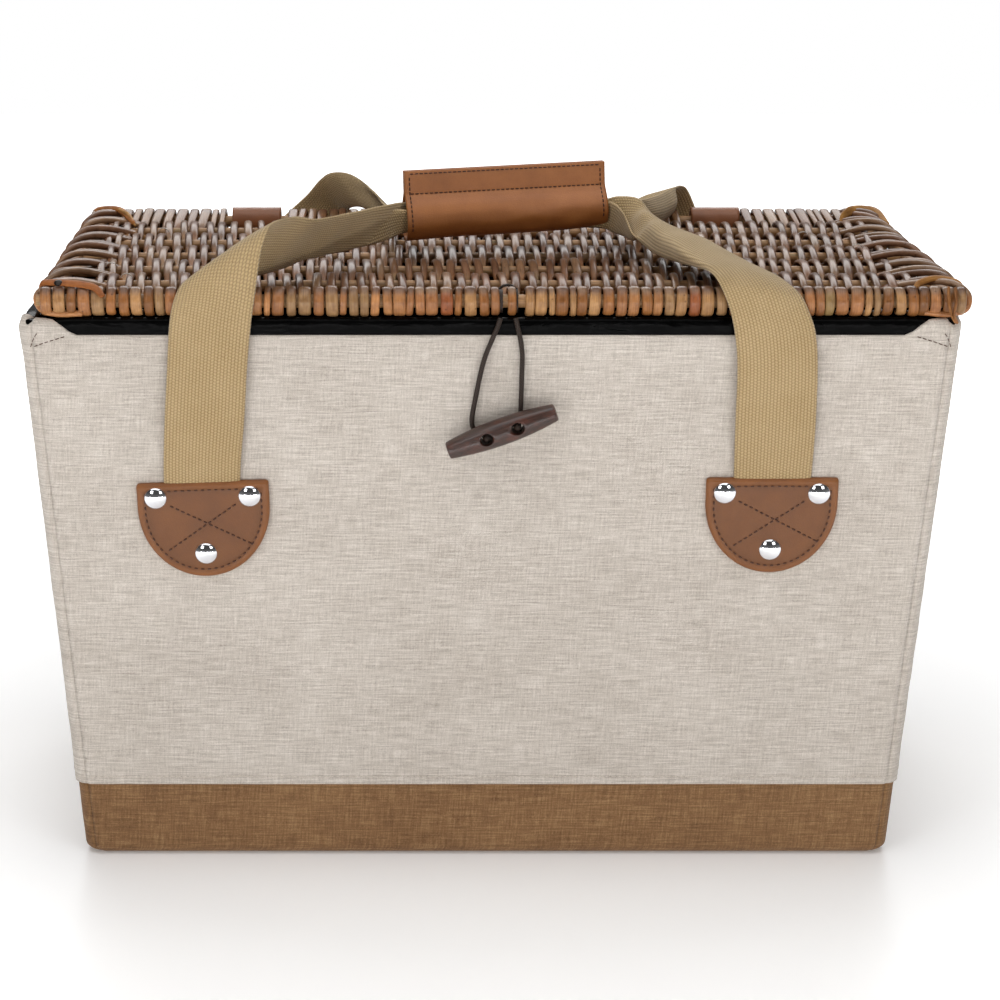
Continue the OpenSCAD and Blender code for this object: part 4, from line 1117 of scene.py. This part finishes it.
RIGHT_BACK = [
    flat((133.6, 142.2, 211), (172.4, 142.2, 212), 0.2),
    flat((133, 143.3, 222.5), (171.6, 143.3, 222.5), 0.2),
    flat((131, 145.4, 233), (169.6, 145.4, 236), 0.5),
    flat((124.6, 149.6, 254), (163, 149.6, 261), 0.9),
    flat((112, 152.8, 282), (149.4, 152.8, 293), 1.2),
    flat((103.4, 153.8, 302), (140.4, 154.4, 312), 1.2),
    [(99, 152.4, 314), (110.4, 155.4, 317.6), (122.6, 156, 321), (135.4, 153.6, 324.6)],
    [(97.2, 147.4, 322), (107.4, 151, 326), (119, 152.2, 329.6), (131, 149.6, 334)],
    [(96.4, 138.6, 328), (104.6, 142, 331.6), (115, 144, 334.6), (126.6, 141.8, 338.4)],
    [(112, 127, 328.4), (117.6, 116, 327.2), (120.6, 109.6, 334), (118.4, 112.6, 341)],
    [(102, 92, 328.4), (108.6, 78, 327), (111.4, 74.4, 334), (109.4, 80, 342.4)],
    [(93, 58, 330.4), (98.6, 46, 329), (102, 43.6, 336.4), (100.6, 49, 344.6)],
    [(84, 30, 335), (87.6, 24.6, 332), (90.4, 20.4, 338), (91.4, 20.4, 347.2)],
    [(75.4, 11, 341), (77, 10.4, 334.8), (78.6, 6.4, 338.4), (79.4, 4.4, 349)],
    [(67, 7.4, 343), (67, 6.4, 336), (67.4, 3.6, 338), (67.6, 1.4, 348)],
    [(40, 2.4, 345), (40, 1.4, 337), (40, -0.4, 338), (40, -1.4, 346)],
]


def handle(face, left, right):
    """One handle: two legs that bend out of their tabs, and a top that bends at the lid's edge."""
    sign = -1 if face == "front" else 1
    whole = turned(left + right[::-1], sign)
    last = len(whole) - 1
    for side, start, end in (("left", 0, LEG_SECTIONS), ("right", last - LEG_SECTIONS, last)):
        pile = Pile()
        around = ribbon(pile, whole, start, end)
        made = pile.build("%s_%s_leg_webbing" % (face, side), WEBBING, "webbing")
        crease_ends(made, around)
        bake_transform(made)
        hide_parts("%s_%s_leg" % (face, side))
    pile = Pile()
    around = ribbon(pile, whole, LEG_SECTIONS, last - LEG_SECTIONS)
    made = pile.build(face + "_top_strap", WEBBING, "webbing")
    crease_ends(made, around)
    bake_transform(made)
    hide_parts(face + "_top_webbing")


def turned(sections, sign):
    """Sections of the back handle run the other way, so that their outer face faces out."""
    return sections if sign < 0 else [list(s)[::-1] for s in sections]


# ---- grip ----

GRIP_AT = np.array([12, -6, 332.7])
GRIP_HALF = 58.0
GRIP_SEWN = 55.2  # the stitching's reach from the middle


def on_grip(points):
    """Points along, across (-Y towards the viewer) and up from the grip's fold."""
    yaw, roll = math.radians(9), math.radians(1.7)
    p = np.asarray(points, float)
    x = p[..., 0] * math.cos(roll) - p[..., 2] * math.sin(roll)
    z = p[..., 0] * math.sin(roll) + p[..., 2] * math.cos(roll)
    return np.stack([x * math.cos(yaw) - p[..., 1] * math.sin(yaw),
                     x * math.sin(yaw) + p[..., 1] * math.cos(yaw), z], axis=-1) + GRIP_AT


GRIP_PROFILE = spline([(-2.7, 38.2), (-2.75, 34), (-2.9, 29.5), (-3.0, 26.4), (-3.5, 25),
                       (-5.4, 22.6), (-8.6, 18.6), (-11, 13.6), (-11.2, 8.4), (-8.6, 3.4),
                       (-4.4, 0.3), (0, -0.4), (2.6, 0.1)], 8)


def grip_surface(x, sign):
    """The leaf's outer profile at places along the grip, with its droop and soft wrinkles."""
    x = np.asarray(x, float)[:, None]
    y, z = GRIP_PROFILE[:, 0][None, :], GRIP_PROFILE[:, 1][None, :]
    low = smooth01((24 - z) / 16)
    end = np.abs(x) / GRIP_HALF
    sag = -1.6 * low * smooth01((-x - 20) / 38) + 1.3 * low * smooth01((x - 22) / 34)
    crease = 0.55 * low * ripple(5, x, z * 1.6, 26) * smooth01((x + 40) / 60)
    flare = 0.7 * low * smooth01((end - 0.8) / 0.2)
    yy = y - crease - flare * np.sign(-y) * 0.6
    zz = z + sag * (1 - 0.25 * np.cos(z / 6)) + 0.3 * ripple(6, x, z, 60) * low
    yy = yy - 0.9 * low * np.sin(math.pi * np.clip(x / GRIP_HALF, -1, 1)) * 0.5
    return np.stack(np.broadcast_arrays(x, yy * -sign, zz), axis=-1)


def grip_leaf(name, sign, body):
    """The front (sign -1) or back leaf of the grip, with its stitching."""
    placed = on_grip(grip_surface(np.linspace(-GRIP_HALF, GRIP_HALF, 90), sign))
    if sign > 0:
        placed = placed[::-1]
    made = build_one(name, LEATHER, "leather", body,
                     *slab(placed.transpose(1, 0, 2)[::-1], 1.6), tint=(1.36, 1.22, 0.8))
    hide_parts("grip_front_leaf" if sign < 0 else "grip_back_leaf")

    sewn = Pile()
    out = on_grip(np.array([[0, sign, 0]]))[0] - on_grip(np.array([[0, 0, 0]]))[0]

    def at(x_mm, z_mm):
        j = int(np.argmin(np.abs(GRIP_PROFILE[:70, 1] - z_mm)))
        return on_grip(grip_surface([x_mm], sign)[0, j])

    for z_mm in (36.5, 25.3):
        line = [at(v, z_mm) for v in np.linspace(-GRIP_SEWN, GRIP_SEWN, 25)]
        stitches(sewn, line, 2.75, 1.7, 0.75, out, 0.3)
    for v in (-GRIP_SEWN, GRIP_SEWN):
        line = [at(v, z_mm) for z_mm in np.linspace(35.2, 5, 18)]
        stitches(sewn, line, 2.75, 1.6, 0.75, out, 0.3)
    sewn.build(name + "_stitching", BROWN_THREAD, "leather", body)


# ---- leather tabs, rivets and hinges ----

TAB_HALF = 35.2
TAB_MIDDLE = 24.0  # below the tab's top


def tab_outline():
    """The tab's edge, flat on top and round below, as places across and down from its top."""
    depth, half, start = 53.0, TAB_HALF, 14.0
    quarter = np.linspace(0, math.pi / 2, 26)[1:]
    d = np.concatenate([np.linspace(1.6, start, 8), start + (depth - start) * np.sin(quarter)])
    w = half * np.sqrt(np.clip(1 - (np.maximum(d - start, 0) / (depth - start)) ** 2, 0, 1))
    right = np.stack([w, -d], axis=1)
    left = right[::-1] * [-1, 1]
    top = np.array([[-half + 0.4, -0.5], [-half + 1.6, 0.0], [0, 0.25], [half - 1.6, 0.0],
                    [half - 0.4, -0.5]])
    loop = np.vstack([right, left[1:], top, right[:1]])
    return resample(loop, 170.0 / 150)[:-1]


def tab(face, side, tilt=0.0):
    """A leather tab with a turned edge, a sewn border and a sewn cross."""
    flip = -1 if face == "back" else 1
    centre_x = 152.5 * (1 if side == "right" else -1) - 1.2 * (face == "front")
    top_z = 219.8 + 2.2 * ((face, side) == ("front", "right"))

    def place(p, out):
        c, s = math.cos(tilt), math.sin(tilt)
        x, z = p[..., 0] * c - p[..., 1] * s, p[..., 0] * s + p[..., 1] * c
        slope = math.atan(LEAN[1])
        height = top_z + z * math.cos(slope)
        y = -half_at(0)[1] - height * LEAN[1] - out * math.cos(slope)
        return np.stack([centre_x + x * flip, y, height - out * math.sin(slope)],
                        axis=-1) * [1, flip, 1]

    edge = tab_outline()
    centre = np.array([0, -TAB_MIDDLE])
    arms = np.where(edge[:, 1] > -TAB_MIDDLE, TAB_MIDDLE, 29.0)

    def inside(inset, drop):
        scale = [1 - inset / TAB_HALF * np.ones(len(edge)), 1 - drop / arms]
        return centre + (edge - centre) * np.stack(scale, axis=1)

    profile = [(0, 0.0), (-0.25, 0.8), (-0.2, 1.9), (0.35, 2.9), (1.1, 3.4), (2.0, 3.6),
               (3.2, 3.45), (3.9, 3.05), (4.6, 3.3), (6, 3.45), (9, 3.5), (13, 3.5), (18, 3.5),
               (22.5, 3.5)]
    rows, tab_tint_with_painted_shade = [], []
    for inset, out in profile:
        p = inside(inset, inset)
        swell = 0.5 * np.exp(-((p[:, 1] + 1.5) / 2.2) ** 2) * (np.abs(p[:, 0]) < 33)
        rows.append(place(p, out + swell * (out > 2)))
        # Tint across the tab: lighter towards the turned edge, with painted shade darkening the
        # recessed stitch groove near inset 4.2.
        light = np.interp(inset, [0, 1.5, 3.6, 4.2, 8, 20], [1.32, 1.28, 1.12, 0.86, 1.0, 0.97])
        tab_tint_with_painted_shade += [(light * 0.62, light * 0.52, light * 0.24)] * len(edge)
    points = np.vstack(rows + [place(centre[None], 3.5)])
    n = len(edge)
    faces = grid_faces(len(rows), n, wrap=True) + fan((len(rows) - 1) * n, n, len(points) - 1)
    if flip > 0:
        faces = [f[::-1] for f in faces]
    name = "%s_%s_tab" % (face, side)
    made = build_one(name + "_leather", LEATHER, "leather", "basket", points, faces,
                     tint=np.array(tab_tint_with_painted_shade + [(0.61, 0.51, 0.24)]))
    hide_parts(name)

    sewn = Pile()
    out = (place(np.array([[0, 0.0]]), 1.0) - place(np.array([[0, 0.0]]), 0.0))[0]
    border = inside(4.0, 4.2)
    stitches(sewn, place(np.vstack([border, border[:1]]), 3.12), 3.6, 1.5, 0.95, out, 0.22)
    for a, b in (((-18.4, -12), (25.6, -35.4)), ((17.9, -12), (-20.6, -38))):
        line = place(np.linspace(a, b, 12), 3.5)
        stitches(sewn, line, 3.3, 1.6, 0.95, out, 0.22)
    sewn.build(name + "_stitching", BROWN_THREAD, "leather", "basket")
    return [(place(np.array([[x, z]]), 3.35)[0], out)
            for x, z in ((-25.4, -7.8), (25, -8.2), (0, -39.8))]


def tabs_and_rivets():
    for face in ("front", "back"):
        heads = Pile()
        for side in ("left", "right"):
            tilt = math.radians(1.9) if (face, side) == ("front", "left") else 0
            for at, out in tab(face, side, tilt):
                heads.add(*dome(at, out, radius=6.1, height=3.0, lip=0.5))
        made = heads.build(face + "_rivet_heads", CHROME, "rivet", "basket")
        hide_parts(face + "_tab_rivets")


def hinges():
    """Leather loops round the lid's back rod, riveted to the back wall."""
    path = [(149.6, 262), (149.8, 276), (150.4, 292), (149.4, 303), (147.6, 313), (146, 320.5),
            (142, 324.9), (136.4, 325.5), (131.6, 322.6), (130.2, 316.6), (132.4, 311.4),
            (138, 309.2), (143.4, 309.8), (146, 304), (147, 296)]
    line = spline(path, 7)
    heads, sewn = Pile(), Pile()
    for name in ("left_hinge_strap", "right_hinge_strap"):
        low, high = box_mm(name)
        x = np.linspace(low[0], high[0], 22)
        rows = np.array([[(v, y + 0.12 * math.sin(v * 0.4 + y), z) for v in x] for y, z in line])
        made = build_one(name + "_leather", LEATHER, "leather", "basket",
                         *slab(rows[:, ::-1], 1.8), tint=(0.86, 0.78, 0.76))
        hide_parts(name)
        middle = (low[0] + high[0]) / 2
        for v in (low[0] + 2.6, high[0] - 2.6):
            stitches(sewn, [(v, y, z) for y, z in line[:35]], 3.0, 1.8, 0.7, (0, 1, 0.05), 0.3)
        stitches(sewn, [(low[0] + 3, 150.2, 297), (high[0] - 3, 150.2, 297)], 3.0, 1.8, 0.7,
                 (0, 1, 0), 0.3)
        heads.add(*dome((middle, 149.9, 276), (0, 1, 0), radius=5.0, height=2.4, lip=0.4))
    sewn.build("hinge_stitching", BROWN_THREAD, "leather", "basket")
    made = heads.build("hinge_rivet_heads", CHROME, "rivet", "basket")
    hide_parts("hinge_rivets")


# ---- toggle and loop ----

def toggle():
    """A turned wooden toggle with two drilled holes."""
    slope, tilt = math.atan(LEAN[1]), math.radians(20.5)
    out = np.array([0, -math.cos(slope), -math.sin(slope)])
    up_wall = np.array([0, -math.sin(slope), math.cos(slope)])
    run = math.cos(tilt) * np.array([1, 0, 0]) + math.sin(tilt) * up_wall
    lift = np.cross(out, run)
    middle = on_front(6, 250.8, 11)
    end = [29.6, 30.1, 30.4, 30.5]
    s = np.concatenate([-np.array(end[::-1]), np.linspace(-28, 28, 40), end])
    r = 4.5 + 2.7 * (1 - (s / 30.5) ** 2)
    r[[0, -1]] -= 1.5
    r[[1, -2]] -= 0.75
    r[[2, -3]] -= 0.25
    a = np.linspace(0, math.tau, 72, endpoint=False)
    facet = 1 + 0.018 * np.cos(a * 7 + 1.0)
    rows = [middle + run * si + (np.cos(a) * facet)[:, None] * ri * out
            + (np.sin(a) * facet)[:, None] * ri * lift for si, ri in zip(s, r)]
    points = np.vstack(rows + [middle + run * s[0], middle + run * s[-1]])
    n, last = len(a), (len(s) - 1) * len(a)
    faces = grid_faces(len(s), n, wrap=True)
    faces += [(b, a, tip) for a, b, tip in fan(0, n, len(points) - 2)]
    faces += fan(last, n, len(points) - 1)
    uv = np.array([(ai * 6, si) for si in s for ai in a] + [(0, s[0]), (0, s[-1])])
    made = build_one("toggle_turned", WOOD, "toggle_wood", "toggle", points, faces, uv)
    for at in (-8.7, 8.7):
        centre = middle + run * at
        line = np.array([centre + out * d for d in (-12, -6.4, -5.9, 5.9, 6.6, 7.2, 12)])
        bit = build_one("drill", WOOD, "toggle_wood", None,
                        *tube(line, [9, 7.6, 6.8, 6.8, 7.4, 8.6, 16], sides=40, across=run))
        cut = made.modifiers.new("hole", "BOOLEAN")
        cut.operation, cut.solver, cut.object = "DIFFERENCE", "EXACT", bit
        with bpy.context.temp_override(object=made, active_object=made):
            bpy.ops.object.modifier_apply(modifier="hole")
        bpy.data.objects.remove(bit)
    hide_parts("toggle")
    dress(CORD, "cord", "toggle_lashing")


LOOP_ROUTE = [
    (0.005, -0.1472, 0.3096), (0.0035, -0.1482, 0.305), (0.0005, -0.1485, 0.298),
    (-0.003, -0.1481, 0.289), (-0.0055, -0.1476, 0.279), (-0.008, -0.1469, 0.266),
    (-0.0098, -0.146, 0.254), (-0.008, -0.1455, 0.2485), (-0.003, -0.145, 0.2456),
    (0.004, -0.1448, 0.2448), (0.011, -0.145, 0.2468), (0.015, -0.1454, 0.2512),
    (0.016, -0.146, 0.258), (0.0163, -0.1466, 0.268), (0.0165, -0.1474, 0.28),
    (0.0166, -0.148, 0.29), (0.0156, -0.1485, 0.298), (0.014, -0.1482, 0.305),
    (0.013, -0.1472, 0.3096)]


def closing_loop():
    """The cord loop from the lid's front rod round behind the toggle and back."""
    curve = bpy.data.curves.new("closing_cord", "CURVE")
    curve.dimensions = "3D"
    line = spline(LOOP_ROUTE, 5)
    path = curve.splines.new("POLY")
    path.points.add(len(line) - 1)
    for point, place in zip(path.points, line):
        point.co = (*place, 1)
    curve.bevel_depth = 0.0013
    curve.bevel_resolution = 5
    curve.use_fill_caps = True
    curve.materials.append(CORD)
    made = bpy.data.objects.new("closing_cord", curve)
    bpy.context.scene.collection.objects.link(made)
    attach(made, "closure_loop")
    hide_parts("loop_cord")

    bar = [(4, -136, 322.6), (6.5, -134, 324.4), (9, -133.4, 324.8), (11.5, -134, 324.4),
           (14, -136, 322.6)]
    build_one("hitch_bar", CORD, "cord", "lid", *tube(bar, 1.5, across=(0, 1, 0)))


def build_soft_parts():
    handle("front", LEFT_FRONT, RIGHT_FRONT)
    handle("back", LEFT_BACK, RIGHT_BACK)
    grip_leaf("grip_front_leather", -1, "grip_flap")
    grip_leaf("grip_back_leather", 1, "back_top")
    dress(HOOKS, "closing_strip", "grip_hook_strip", "grip_loop_strip")
    tabs_and_rivets()
    hinges()
    toggle()
    closing_loop()


# ---- studio ----

def studio():
    """Camera, a world that looks white but lights softly, five area lamps and a white floor."""
    scene = bpy.context.scene
    scene.view_settings.view_transform = "Standard"
    scene.view_settings.look = "None"
    camera = bpy.data.objects.new("camera", bpy.data.cameras.new("camera"))
    scene.collection.objects.link(camera)
    camera.location = (-0.0408, -1.5493, 0.5759)
    camera.rotation_euler = (math.radians(90 - 14.59), 0, 0)
    camera.data.sensor_width = 36
    camera.data.lens = 97.65
    camera.data.shift_x = 0.0867
    scene.camera = camera

    world = bpy.data.worlds.new("studio")
    scene.world = world
    world.use_nodes = True
    tree = world.node_tree
    tree.nodes.clear()
    output, seen, lit, place, split, ramp, path, mix = (
        tree.nodes.new("ShaderNode" + kind)
        for kind in ("OutputWorld", "Background", "Background", "TexCoord", "SeparateXYZ",
                     "ValToRGB", "LightPath", "MixShader"))
    seen.inputs["Color"].default_value = (1, 1, 1, 1)
    lit.inputs["Strength"].default_value = 0.5
    for element, (at, level) in zip(ramp.color_ramp.elements, ((0.0, 0.4), (0.34, 0.14))):
        element.position = at
        element.color = (level, level, level, 1)
    for at, level in ((0.1, 0.3), (0.7, 0.12), (0.95, 0.5)):
        element = ramp.color_ramp.elements.new(at)
        element.color = (level, level, level, 1)
    for source, socket in (
            (place.outputs["Generated"], split.inputs[0]), (split.outputs["Z"], ramp.inputs[0]),
            (ramp.outputs[0], lit.inputs["Color"]), (path.outputs["Is Camera Ray"], mix.inputs[0]),
            (lit.outputs[0], mix.inputs[1]), (seen.outputs[0], mix.inputs[2]),
            (mix.outputs[0], output.inputs[0])):
        tree.links.new(source, socket)

    def lamp(name, at, aim, size, power, tall=None):
        data = bpy.data.lights.new(name, "AREA")
        data.shape = "RECTANGLE"
        data.size, data.size_y = size, tall or size
        data.energy = power
        made = bpy.data.objects.new(name, data)
        made.location = at
        turn = Vector(aim) - Vector(at)
        made.rotation_euler = turn.to_track_quat("-Z", "Y").to_euler()
        scene.collection.objects.link(made)

    lamp("top_softbox", (-0.1, -0.3, 2.4), (0, 0, 0.1), 2.6, 34)
    lamp("left_softbox", (-1.5, -2.1, 1.7), (0, 0, 0.2), 0.9, 10)
    lamp("right_softbox", (1.5, -2.1, 1.7), (0, 0, 0.2), 0.9, 8.5)
    lamp("front_strip", (0, -1.15, 0.13), (0, 0, 0.31), 2.2, 3.6, 0.03)
    lamp("back_light", (0, 2.6, 1.9), (0, 0.9, 0), 3.0, 40, 1.2)

    bpy.ops.mesh.primitive_plane_add(size=7)
    floor = bpy.context.object
    floor.name = "floor"
    paint = Paint("floor_paint", 0.3, Specular_IOR_Level=0.4, Emission_Color=(1, 1, 1, 1))
    paper = paint.done("#fbfbfb")
    nodes, link = paper.node_tree.nodes, paper.node_tree.links.new
    place, far = nodes.new("ShaderNodeTexCoord"), nodes.new("ShaderNodeVectorMath")
    far.operation = "LENGTH"
    glow = nodes.new("ShaderNodeMapRange")
    for socket, value in (("From Min", 0.25), ("From Max", 1.1), ("To Min", 0.16), ("To Max", 0.9)):
        glow.inputs[socket].default_value = value
    link(place.outputs["Object"], far.inputs[0])
    link(far.outputs["Value"], glow.inputs[0])
    shader = next(n for n in nodes if n.type == "BSDF_PRINCIPLED")
    link(glow.outputs[0], shader.inputs["Emission Strength"])
    floor.data.materials.append(paper)


studio()
build_body()
build_lid()
build_soft_parts()
